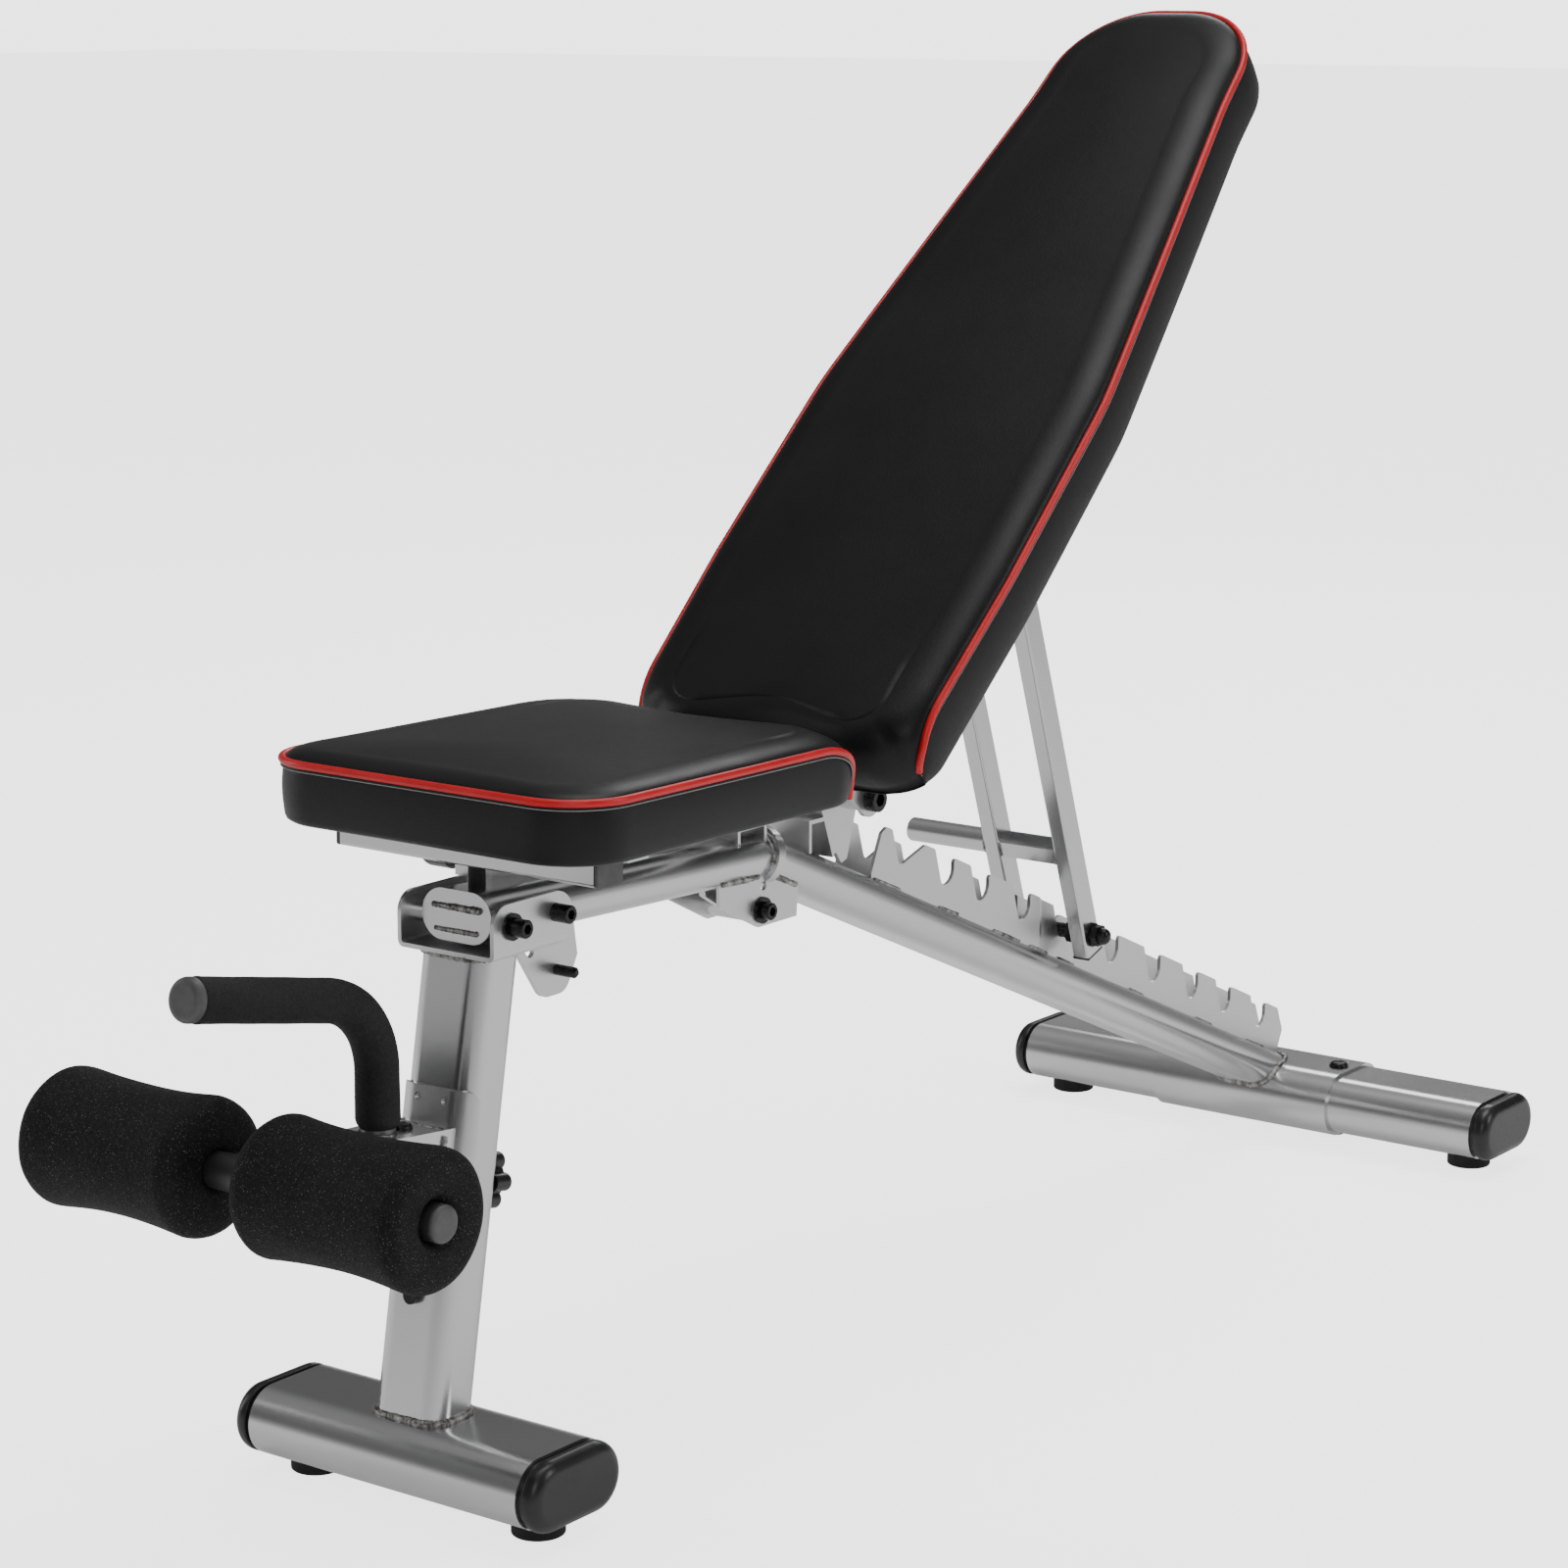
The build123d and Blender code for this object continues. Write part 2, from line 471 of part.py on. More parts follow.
def bent_bar(face, start_z, tip):
    """Round section swept up the handle's rise, around its bend and out to the tip."""
    rise = math.radians(HANDLE_RISE)
    turn = 90 - HANDLE_RISE
    setback = HANDLE_R * math.tan(math.radians(turn) / 2)
    corner_z = tip[1] - (HANDLE_Y - tip[0]) * math.tan(rise)
    low, high = (HANDLE_Y, start_z), (HANDLE_Y, corner_z - setback)
    run = (HANDLE_Y - setback * math.cos(rise), corner_z + setback * math.sin(rise))
    upright = extrude(axis_plane(low, high) * face, high[1] - low[1])
    centre = Axis((0, HANDLE_Y - HANDLE_R, high[1]), (1, 0, 0))
    bend = revolve(axis_plane(low, high).move(Location((0, 0, high[1] - low[1]))) * face, centre, turn)
    grip = extrude(axis_plane(run, tip) * face, distance(run, tip))
    return upright + bend + grip


def build_handle():
    rise = math.radians(HANDLE_RISE)

    def before_tip(s):
        return (HANDLE_TIP[0] + s * math.cos(rise), HANDLE_TIP[1] - s * math.sin(rise))

    tube = bent_bar(Circle(HANDLE_D / 2) - Circle(HANDLE_D / 2 - 2), 262.0, before_tip(4))
    save("handle_tube", biggest(tube - side(arm_outline(), -23, 23)))
    foam = bent_bar(Circle(FOAM_D / 2) - Circle(HANDLE_D / 2 + 0.05), 276.0, before_tip(CAP_LEN))
    save("handle_foam", foam)
    cap = extrude(axis_plane(before_tip(CAP_LEN), HANDLE_TIP) * Circle(FOAM_D / 2 - 0.5), CAP_LEN)
    cap = fillet(cap.edges().sort_by(Axis.Y)[0], 5.0)
    socket = extrude(axis_plane(before_tip(CAP_LEN), HANDLE_TIP) * Circle(HANDLE_D / 2 + 0.05), 3.1)
    save("handle_cap", cap - socket)


# ---- backrest -------------------------------------------------------------------------------
BACK_UP = (math.cos(math.radians(BACK_ANGLE)), math.sin(math.radians(BACK_ANGLE)))
BACK_OUT = (-BACK_UP[1], BACK_UP[0])


def back_point(s, n):
    """Point s up the backrest from its pivot and n out towards the user."""
    return (BACK_PIVOT[0] + s * BACK_UP[0] + n * BACK_OUT[0],
            BACK_PIVOT[1] + s * BACK_UP[1] + n * BACK_OUT[1])


def back_plane(n):
    return Plane(origin=(0, *back_point(0, n)), x_dir=(1, 0, 0), z_dir=(0, *BACK_OUT))


def pad_solid(plane, outline, depth, crown):
    """Upholstered slab with a slightly raised middle and softened front edges."""
    slab = extrude(plane * outline, depth)
    crown_plane = Plane(origin=plane.origin + plane.z_dir * depth, x_dir=plane.x_dir, z_dir=plane.z_dir)
    return slab + extrude(crown_plane * offset(outline, -9), crown, taper=50)


def back_outline(inset=0.0):
    low, high = BACK_PAD_LOW, BACK_PAD_LOW + BACK_PAD_LEN
    half = [(130, low), (135, 150), (133, 330), (109, 513), (90, 650), (84, high)]
    face = Polygon(*half, *[(-x, s) for x, s in reversed(half)], align=None)
    corners = face.vertices().sort_by(Axis.Y)
    face = fillet(corners[:2], 42)
    face = fillet(face.vertices().sort_by(Axis.Y)[-2:], 55)
    bends = [v for v in face.vertices() if 140 < v.Y < 660]
    face = fillet(bends, 160)
    return offset(face, -inset) if inset else face


def below_back(s, n, size):
    """Square area beyond distance s down the backrest, centred on height n."""
    return Polygon(back_point(s, n - size), back_point(s, n + size),
                   back_point(s - 2 * size, n + size), back_point(s - 2 * size, n - size), align=None)


def pivot_ear(low, high, hole_s, hole_n, hole_d):
    """Rail's deepened end: a tongue that runs down around a pivot hole."""
    ear = Polygon(back_point(low, BACK_PAD_N), back_point(high, BACK_PAD_N),
                  back_point(hole_s + 16, hole_n), back_point(hole_s - 12, hole_n - 4), align=None)
    ear += Pos(*back_point(hole_s, hole_n)) * Circle(14)
    return side(ear, RAIL_X, RAIL_X + RAIL_T) - rod(back_point(hole_s, hole_n), 0, 90, hole_d)


def build_backrest():
    low, board_t = BACK_PAD_N, 9.0
    board = extrude(back_plane(low) * back_outline(6), board_t)
    save("backrest_board", board - side(below_back(-6, low, 40), -200, 200))
    pad = pad_solid(back_plane(low + board_t), back_outline(), PAD_T - board_t, 6)
    tuck = plate([back_point(BACK_PAD_LOW - 5, low), back_point(-12, low),
                  back_point(-12, low + board_t), back_point(BACK_PAD_LOW - 5, low + 36)], -200, 200)
    save("backrest_pad", biggest(pad - tuck))
    leg = plate([back_point(-20, low), back_point(430, low), back_point(430, low - 14),
                 back_point(400, low - 26), back_point(40, low - 26), back_point(-20, low - 20)],
                RAIL_X, RAIL_X + RAIL_T)
    flange = plate([back_point(-20, low), back_point(430, low),
                    back_point(430, low - RAIL_T), back_point(-20, low - RAIL_T)], RAIL_X, RAIL_X + 30)
    rail = leg + flange + pivot_ear(-20, 60, 0, 0, 12)
    rail += side(Pos(*H_TOP) * Circle(13), RAIL_X, RAIL_X + RAIL_T)
    rail -= rod(H_TOP, 0, 90, 10)
    rail -= rod(BACK_PIVOT, 0, 90, 12)
    save("backrest_rails", *both_sides(rail))
    outer = RAIL_X + RAIL_T
    save("backrest_pivot_bolt", cross_bolt(BACK_PIVOT, outer, 12, 19, 9, nut_af=17))
    save("frame_pivot_bolt", cross_bolt(H_TOP, outer, 10, 16, 7, nut_af=15))


# ---- support frame --------------------------------------------------------------------------
LEAN = math.radians(H_LEAN)
H_UP = (-math.sin(LEAN), math.cos(LEAN))
H_TOP = (H_PIN[0] + H_LENGTH * H_UP[0], H_PIN[1] + H_LENGTH * H_UP[1])


def bar_point(s, n):
    """Point s up a support bar from the notch pin and n to its rear."""
    return (H_PIN[0] + s * H_UP[0] + n * H_UP[1], H_PIN[1] + s * H_UP[1] - n * H_UP[0])


def build_support_frame():
    bottom, top, half = -17.0, H_LENGTH + 12, BAR_D / 2
    inner, outer = BAR_X - BAR_W / 2, BAR_X + BAR_W / 2
    bar = plate([bar_point(bottom, -half), bar_point(bottom, half),
                 bar_point(top, half), bar_point(top, -half)], inner, outer)
    bar = fillet(bar.edges().filter_by(lambda e: e.length > 200), 2.0)
    hollow = plate([bar_point(bottom - 1, 1.5 - half), bar_point(bottom - 1, half - 1.5),
                    bar_point(top + 1, half - 1.5), bar_point(top + 1, 1.5 - half)], inner + 1.5, outer - 1.5)
    bar = bar - hollow - rod(H_TOP, 0, 60, 10 + FIT) - rod(H_PIN, 0, 60, 10)
    save("support_bars", *both_sides(bar))
    plugs = []
    for end, way in ((bottom, 1), (top, -1)):
        stopper = plate([bar_point(end - 2 * way, -half), bar_point(end - 2 * way, half),
                         bar_point(end, half), bar_point(end, -half)], inner, outer)
        stem = plate([bar_point(end, 1.6 - half), bar_point(end, half - 1.6),
                      bar_point(end + 3 * way, half - 1.6), bar_point(end + 3 * way, 1.6 - half)],
                     inner + 1.6, outer - 1.6)
        plugs += both_sides(stopper + stem)
    save("support_bar_plugs", *plugs)
    build_channel(inner)
    build_support_pin(inner, outer)
    stub_at = bar_point(77, 0)
    stub = rod(stub_at, -121, -outer, 20)
    stub = fillet(stub.edges().group_by(Axis.X)[0], 1.5)
    save("stub_handle", stub - rod(stub_at, -119, -outer + 1, 16))


def build_channel(inner):
    """Open-topped channel welded between the two bars, with small corner gussets."""
    s_low, s_high = 70.0, 83.0
    floor = plate([bar_point(s_low, -10), bar_point(s_low, 10),
                   bar_point(s_low + 2, 10), bar_point(s_low + 2, -10)], -inner, inner)
    front = plate([bar_point(s_low, -10), bar_point(s_low, -8),
                   bar_point(s_high, -8), bar_point(s_high, -10)], -inner, inner)
    back = plate([bar_point(s_low, 8), bar_point(s_low, 10),
                  bar_point(s_high, 10), bar_point(s_high, 8)], -inner, inner)
    save("support_channel", floor + front + back)


def build_support_pin(inner, outer):
    """Pin across both bars: thick middle in the notches, nuts, washers and domed end nuts."""
    middle = rod(H_PIN, -inner + 7, inner - 7, PIN_D)
    shank = rod(H_PIN, -outer - 12, outer + 12, 10)
    save("support_pin", middle + shank)
    lock_nut = hexagon(H_PIN, inner - 7, inner - 0.2, 16) - rod(H_PIN, 0, 60, 10)
    washer = rod(H_PIN, outer, outer + 2, 20)
    dome = hexagon(H_PIN, outer + 2, outer + 9, 16)
    dome += fillet(rod(H_PIN, outer + 9, outer + 17, 14).edges().group_by(Axis.X)[-1], 6.0)
    cap_nut = washer + dome - rod(H_PIN, 0, outer + 12, 10)
    save("support_pin_nuts", *both_sides(lock_nut), *both_sides(cap_nut))


# ---- seat -----------------------------------------------------------------------------------
def tilted(shape):
    """Put a part drawn on the level seat at the seat's resting tilt."""
    y, z = SEAT_HINGE
    return Pos(0, y, z) * Rot(-SEAT_LIFT, 0, 0) * Pos(0, -y, -z) * shape


def seat_outline(inset=0.0):
    face = Polygon((-SEAT_HALF, SEAT_FRONT), (SEAT_HALF, SEAT_FRONT),
                   (SEAT_HALF - 5, SEAT_REAR), (5 - SEAT_HALF, SEAT_REAR), align=None)
    face = fillet(face.vertices(), 47)
    return offset(face, -inset) if inset else face


def build_seat():
    board_t = 9.0
    save("seat_board", tilted(extrude(Plane.XY.offset(SEAT_Z) * seat_outline(6), board_t)))
    pad = pad_solid(Plane.XY.offset(SEAT_Z + board_t), seat_outline(), PAD_T - board_t - 2.5, 7)
    save("seat_pad", tilted(pad))
    rail = Pos(0, 0, SEAT_Z - 1) * Box(290, 22, 2)
    rails = [Pos(0, y, 0) * rail for y in (CROSS_Y, -830.0)]
    rails = [r & extrude(Plane.XY.offset(SEAT_Z - 5) * seat_outline(4), 10) for r in rails]
    side_rail = Pos(31, (CROSS_Y - 830) / 2, SEAT_Z - 1) * Box(22, -830 - CROSS_Y - 22, 2)
    save("seat_rails", tilted(rails[0] + rails[1] + side_rail + mirrored(side_rail)))
    build_cross_tube()
    ear = make_hull([*Polygon((-822, SEAT_Z - 2), (-797, SEAT_Z - 2), (-804, 440), align=None).edges(),
                     *(Pos(*SEAT_HINGE) * Circle(10)).edges()])
    ear = side(ear, 26, 29) + Pos(31, -809.5, SEAT_Z - 3.5) * Box(10, 25, 3)
    save("seat_ears", *[tilted(e) for e in both_sides(ear - rod(SEAT_HINGE, 0, 60, 8))])
    save("seat_hinge_bolt", tilted(cross_bolt(SEAT_HINGE, 29, 8, 13, 5)))
    build_quadrant()


def build_cross_tube():
    """Rectangular tube across the front of the seat's underside, closed by two caps."""
    z = SEAT_Z - 2 - CROSS_H / 2
    cap_t, lip = 2.5, 0.8
    tube = Pos(0, CROSS_Y, z) * Box(2 * (CROSS_HALF - cap_t - lip), CROSS_D, CROSS_H)
    tube = fillet(tube.edges().filter_by(Axis.X), 2.5)
    tube -= Pos(0, CROSS_Y, z) * Box(2 * CROSS_HALF, CROSS_D - 4, CROSS_H - 4)
    save("seat_cross_tube", tilted(tube))
    cap = Pos(CROSS_HALF - cap_t / 2, CROSS_Y, z) * Box(cap_t, CROSS_D, CROSS_H)
    cap = fillet(cap.edges().filter_by(Axis.X), 2.5)
    cap += Pos(CROSS_HALF - 7.6, CROSS_Y, z) * Box(10.2, CROSS_D - 4.2, CROSS_H - 4.2)
    save("seat_tube_caps", *[tilted(c) for c in both_sides(cap)])


def build_quadrant():
    """Arc plate hung from the seat; the pull pin rides in its slot about the seat's hinge."""
    radius = distance(SEAT_HINGE, LOCK_PIN)
    at = math.degrees(math.atan2(LOCK_PIN[1] - SEAT_HINGE[1], LOCK_PIN[0] - SEAT_HINGE[0])) % 360
    sweep_angle, half, slot = 15.5, 10.0, 3.7
    band = make_face([CenterArc(SEAT_HINGE, radius + half, at - 8, sweep_angle + 10.5),
                      CenterArc(SEAT_HINGE, radius - half, at - 8, sweep_angle + 10.5),
                      Line(polar(radius + half, at - 8), polar(radius - half, at - 8)),
                      Line(polar(radius + half, at + sweep_angle + 2.5),
                           polar(radius - half, at + sweep_angle + 2.5))])
    arc = Pos(*polar(radius, at)) * Circle(slot) + Pos(*polar(radius, at + sweep_angle)) * Circle(slot)
    arc += make_face([CenterArc(SEAT_HINGE, radius + slot, at, sweep_angle),
                      CenterArc(SEAT_HINGE, radius - slot, at, sweep_angle),
                      Line(polar(radius + slot, at), polar(radius - slot, at)),
                      Line(polar(radius + slot, at + sweep_angle), polar(radius - slot, at + sweep_angle))])
    under_seat = seat_level(LOCK_PIN[0], SEAT_Z - 2.3)[1]
    quadrant = side(band - arc, -36, -33)
    quadrant &= Pos(0, LOCK_PIN[0], under_seat - 100) * Box(200, 200, 200)
    save("seat_quadrant", biggest(quadrant))


def polar(radius, degrees):
    a = math.radians(degrees)
    return (SEAT_HINGE[0] + radius * math.cos(a), SEAT_HINGE[1] + radius * math.sin(a))


def build_seat_lock():
    """Pull pin through the lock bracket with a domed knob outside."""
    pin = rod(LOCK_PIN, -74, -31.5, 6.5) + rod(LOCK_PIN, -60, -56, 10)
    save("seat_lock_pin", pin)
    knob = fillet(rod(LOCK_PIN, -90, -61, 25).edges().group_by(Axis.X)[0], 9.0)
    knob = fillet(knob.edges().group_by(Axis.X)[-1], 3.0)
    save("seat_lock_knob", knob - rod(LOCK_PIN, -74, -60, 6.5))


# ---- rollers and star knob ------------------------------------------------------------------
def build_rollers():
    """Foam rollers, slightly waisted, with rounded ends, free to turn on the roller bar."""
    r, a, b = ROLLER_D / 2, ROLLER_INNER, ROLLER_OUTER
    mid = (a + b) / 2
    bore = ROLLER_BAR_D / 2 + GAP
    profile = make_face([Line((a, bore), (a, r - 12)), RadiusArc((a, r - 12), (a + 12, r), 12),
                         ThreePointArc((a + 12, r), (mid, r - 3), (b - 12, r)),
                         RadiusArc((b - 12, r), (b, r - 12), 12), Line((b, r - 12), (b, bore)),
                         Line((b, bore), (a, bore))])
    roller = revolve(profile, Axis.X)
    roller = Pos(0, *ROLLER_AXIS) * roller
    save("roller_near", roller)
    save("roller_far", mirrored(roller))


def build_star_knob():
    """Six-lobed knob and stud behind the post, square to it."""
    lean = math.degrees(math.atan2(POST_TOP[0] - POST_FOOT[0], POST_TOP[1] - POST_FOOT[1]))
    seat_at = post_point(KNOB_Z, -POST_T / 2)
    turn = Pos(0, *seat_at) * Rot(-90 - lean, 0, 0)
    lobes = Circle(15.5)
    for i in range(6):
        lobes += Rot(0, 0, 60 * i) * Pos(15.5, 0) * Circle(6.5)
    gaps = [Rot(0, 0, 60 * i + 30) * Pos(24.5, 0) * Circle(7.0) for i in range(6)]
    body = extrude(lobes - gaps, 16)
    body = fillet(body.edges().group_by(Axis.Z)[-1], 2.0)
    stand, bore = 6.0, 15.0
    hub = stand - 2 * GAP
    knob = Pos(0, 0, stand) * body + Pos(0, 0, stand - hub / 2) * Cylinder(9, hub)
    save("star_knob", turn * (knob - Pos(0, 0, bore / 2) * Cylinder(5 + FIT / 2, bore)))
    stud = turn * Pos(0, 0, bore / 2 - 1.2) * Cylinder(5, bore + 2)
    save("star_knob_stud", stud - post_bar())


build_floor_tubes()
build_sleeve()
build_post()
build_clevis()
build_main_tubes()
build_knee_bracket()
build_keeper()
build_ladder()
build_back_bracket()
build_seat_bracket()
build_bumper()
build_lock_bracket()
build_leg_hold()
build_handle()
build_backrest()
build_support_frame()
build_seat()
build_seat_lock()
build_rollers()
build_star_knob()
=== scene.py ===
import json
import math

import bpy
import numpy as np
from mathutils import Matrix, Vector


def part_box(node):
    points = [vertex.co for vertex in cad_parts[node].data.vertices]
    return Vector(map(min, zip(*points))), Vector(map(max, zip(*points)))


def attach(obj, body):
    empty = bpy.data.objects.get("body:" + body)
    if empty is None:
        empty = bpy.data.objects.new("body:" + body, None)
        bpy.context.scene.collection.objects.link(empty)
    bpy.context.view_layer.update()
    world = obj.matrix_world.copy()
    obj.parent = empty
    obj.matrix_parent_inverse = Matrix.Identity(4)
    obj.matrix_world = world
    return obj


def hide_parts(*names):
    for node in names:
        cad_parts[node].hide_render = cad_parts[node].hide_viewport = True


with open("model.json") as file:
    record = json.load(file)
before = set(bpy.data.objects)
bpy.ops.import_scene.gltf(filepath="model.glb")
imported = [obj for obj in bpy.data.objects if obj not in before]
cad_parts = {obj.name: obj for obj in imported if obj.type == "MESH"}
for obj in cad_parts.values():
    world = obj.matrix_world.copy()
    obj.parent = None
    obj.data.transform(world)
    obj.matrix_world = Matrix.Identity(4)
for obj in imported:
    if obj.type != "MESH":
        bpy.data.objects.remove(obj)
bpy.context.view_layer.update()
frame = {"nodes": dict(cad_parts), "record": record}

OY = 0.6599                       # the frame's Y of the rear foot tube's axis


# ---- materials ------------------------------------------------------------------------------
class Nodes:
    """Small helper around one material's node tree; every texture reads object space, in metres."""

    def __init__(self, name):
        self.mat = bpy.data.materials.new(name)
        self.mat.use_nodes = True
        self.tree = self.mat.node_tree
        self.bsdf = self.tree.nodes["Principled BSDF"]
        self.coord = self.tree.nodes.new("ShaderNodeTexCoord").outputs["Object"]

    def add(self, kind, **inputs):
        node = self.tree.nodes.new(kind)
        for key, value in inputs.items():
            self.put(node, key.replace("_", " "), value)
        return node

    def put(self, node, key, value):
        if isinstance(value, bpy.types.NodeSocket):
            self.tree.links.new(value, node.inputs[key])
        else:
            node.inputs[key].default_value = value

    def stretch(self, x, y, z):
        mapping = self.tree.nodes.new("ShaderNodeMapping")
        self.tree.links.new(self.coord, mapping.inputs["Vector"])
        mapping.inputs["Scale"].default_value = (x, y, z)
        return mapping.outputs["Vector"]

    def noise(self, scale, detail=3.0, rough=0.55, vector=None):
        node = self.add("ShaderNodeTexNoise", Vector=vector or self.coord, Scale=scale, Detail=detail,
                        Roughness=rough)
        return node.outputs["Fac"]

    def cells(self, scale, feature="F1", vector=None):
        node = self.tree.nodes.new("ShaderNodeTexVoronoi")
        node.feature = feature
        self.put(node, "Vector", vector or self.coord)
        self.put(node, "Scale", scale)
        return node.outputs["Distance"]

    def remap(self, value, low, high, to_low, to_high):
        node = self.tree.nodes.new("ShaderNodeMapRange")
        for key, v in (("Value", value), ("From Min", low), ("From Max", high),
                       ("To Min", to_low), ("To Max", to_high)):
            self.put(node, key, v)
        return node.outputs["Result"]

    def math(self, operation, a, b):
        node = self.tree.nodes.new("ShaderNodeMath")
        node.operation = operation
        for i, v in enumerate((a, b)):
            if isinstance(v, bpy.types.NodeSocket):
                self.tree.links.new(v, node.inputs[i])
            else:
                node.inputs[i].default_value = v
        return node.outputs["Value"]

    def mix(self, fac, a, b):
        node = self.tree.nodes.new("ShaderNodeMix")
        node.data_type = "RGBA"
        self.tree.links.new(fac, node.inputs["Factor"])
        for key, v in (("A", a), ("B", b)):
            socket = [i for i in node.inputs if i.name == key and i.type == "RGBA"][0]
            if isinstance(v, bpy.types.NodeSocket):
                self.tree.links.new(v, socket)
            else:
                socket.default_value = (*v, 1.0)
        return [o for o in node.outputs if o.type == "RGBA"][0]

    def bump(self, height, strength, distance, normal=None):
        node = self.add("ShaderNodeBump", Height=height, Strength=strength, Distance=distance)
        if normal:
            self.tree.links.new(normal, node.inputs["Normal"])
        return node.outputs["Normal"]

    def finish(self, color, rough, metallic=0.0, normal=None, **extra):
        self.put(self.bsdf, "Base Color", color if isinstance(color, bpy.types.NodeSocket) else (*color, 1.0))
        self.put(self.bsdf, "Roughness", rough)
        self.put(self.bsdf, "Metallic", metallic)
        if normal:
            self.put(self.bsdf, "Normal", normal)
        for key, value in extra.items():
            self.bsdf.inputs[key.replace("_", " ")].default_value = value
        return self.mat


def painted_silver(name, light, dark, rough_low, rough_high):
    """Satin silver powder coat: fine orange peel, faint cloudiness, sparse metal flake."""
    n = Nodes(name)
    cloud = n.noise(4.0, 2.0)
    peel = n.noise(650.0, 2.0)
    flake = n.cells(2600.0)
    color = n.mix(n.remap(cloud, 0.3, 0.7, 0.0, 1.0), dark, light)
    broad = n.remap(cloud, 0.2, 0.8, rough_low, rough_high)
    rough = n.math("ADD", broad, n.remap(flake, 0.0, 1.0, -0.02, 0.03))
    normal = n.bump(flake, 0.02, 0.0001, n.bump(peel, 0.05, 0.0001))
    return n.finish(color, rough, 0.95, normal)


def weld_metal():
    """Bare weld bead: rippled, bright on the crests, straw and soot in the hollows."""
    n = Nodes("weld_bead")
    soot = n.noise(160.0, 5.0, 0.7)
    color = n.mix(n.remap(soot, 0.4, 0.62, 0.0, 1.0), (0.13, 0.12, 0.11), (0.55, 0.55, 0.54))
    normal = n.bump(n.noise(900.0, 3.0), 0.5, 0.0004)
    return n.finish(color, n.remap(soot, 0.3, 0.7, 0.3, 0.55), 0.9, normal)


def black_fastener():
    n = Nodes("black_oxide_steel")
    wear = n.noise(240.0, 4.0, 0.65)
    color = n.mix(n.remap(wear, 0.6, 0.72, 0.0, 1.0), (0.008, 0.008, 0.009), (0.045, 0.045, 0.05))
    return n.finish(color, n.remap(wear, 0.3, 0.7, 0.2, 0.36), 0.35, n.bump(wear, 0.12, 0.0002))


def bright_metal():
    n = Nodes("plated_steel")
    turn = n.noise(500.0, 2.0, vector=n.stretch(14.0, 1.0, 1.0))
    return n.finish((0.72, 0.72, 0.74), n.remap(turn, 0.3, 0.7, 0.1, 0.24), 1.0, n.bump(turn, 0.08, 0.0001))


def black_plastic():
    """Moulded cap plastic: fine spark texture with a soft shine."""
    n = Nodes("moulded_black_plastic")
    grain = n.noise(1500.0, 2.0)
    cloud = n.noise(25.0, 3.0)
    color = n.mix(n.remap(cloud, 0.3, 0.7, 0.0, 1.0), (0.009, 0.009, 0.01), (0.016, 0.016, 0.017))
    return n.finish(color, n.remap(cloud, 0.3, 0.7, 0.24, 0.34), 0.0, n.bump(grain, 0.10, 0.0001))


def grey_plastic():
    n = Nodes("moulded_grey_plastic")
    grain = n.noise(1200.0, 2.0)
    cloud = n.noise(60.0, 3.0)
    color = n.mix(n.remap(cloud, 0.3, 0.7, 0.0, 1.0), (0.065, 0.065, 0.066), (0.11, 0.11, 0.112))
    return n.finish(color, n.remap(cloud, 0.3, 0.7, 0.42, 0.55), 0.0, n.bump(grain, 0.2, 0.0002))


def rubber():
    n = Nodes("black_rubber")
    dust = n.noise(300.0, 4.0, 0.7)
    color = n.mix(n.remap(dust, 0.5, 0.75, 0.0, 1.0), (0.008, 0.008, 0.008), (0.03, 0.03, 0.03))
    return n.finish(color, n.remap(dust, 0.3, 0.7, 0.6, 0.8), 0.0, n.bump(dust, 0.3, 0.0003))


def foam(name, scale, painted_glint_strength, dark, light):
    """Closed-cell foam rubber: a skin of tiny open cells, with light grey flecks painted into the colour as
    glints where cells would catch the light.
    """
    n = Nodes(name)
    cell = n.cells(scale)
    fine = n.noise(scale * 0.9, 4.0, 0.75)
    patch = n.noise(18.0, 3.0)
    # painted highlight: a mask of small cells, gated by fine noise, where light grey glints are painted in
    painted_glint = n.math("MULTIPLY", n.remap(cell, 0.05, 0.38, 1.0, 0.0), n.remap(fine, 0.47, 0.62, 0.0, painted_glint_strength))
    clumps = n.remap(n.noise(330.0, 3.0), 0.4, 0.6, 0.0, 0.5)
    mottle = n.math("ADD", n.remap(patch, 0.35, 0.65, 0.0, 0.5), clumps)
    body = n.mix(mottle, (dark, dark, dark), (light, light, light))
    # painted glints: light grey mixed into the base colour through the glint mask
    color = n.mix(painted_glint, body, (0.20, 0.20, 0.205))
    normal = n.bump(cell, 0.55, 0.0006, n.bump(fine, 0.5, 0.0005))
    return n.finish(color, n.remap(fine, 0.3, 0.7, 0.6, 0.85), 0.0, normal, Specular_IOR_Level=0.22)


def vinyl(name, low, high, rough_low, rough_high, grain=1.0):
    """Upholstery vinyl: pebble grain of about a millimetre, fine creases, uneven polish."""
    n = Nodes(name)
    warp = n.noise(120.0, 2.0)
    pebble = n.cells(950.0)
    crease = n.cells(420.0, "DISTANCE_TO_EDGE")
    cloud = n.noise(7.0, 4.0, 0.6)
    color = n.mix(n.remap(cloud, 0.3, 0.7, 0.0, 1.0), low, high)
    polish = n.remap(cloud, 0.3, 0.7, rough_low, rough_high)
    rough = n.math("ADD", polish, n.remap(pebble, 0.0, 0.8, -0.03, 0.03))
    waves = n.bump(warp, 0.05, 0.0006)
    creased = n.bump(n.remap(crease, 0.0, 0.06, 0.0, 1.0), 0.12 * grain, 0.0002, waves)
    normal = n.bump(pebble, 0.16 * grain, 0.00025, creased)
    return n.finish(color, rough, 0.0, normal, Specular_IOR_Level=0.30)


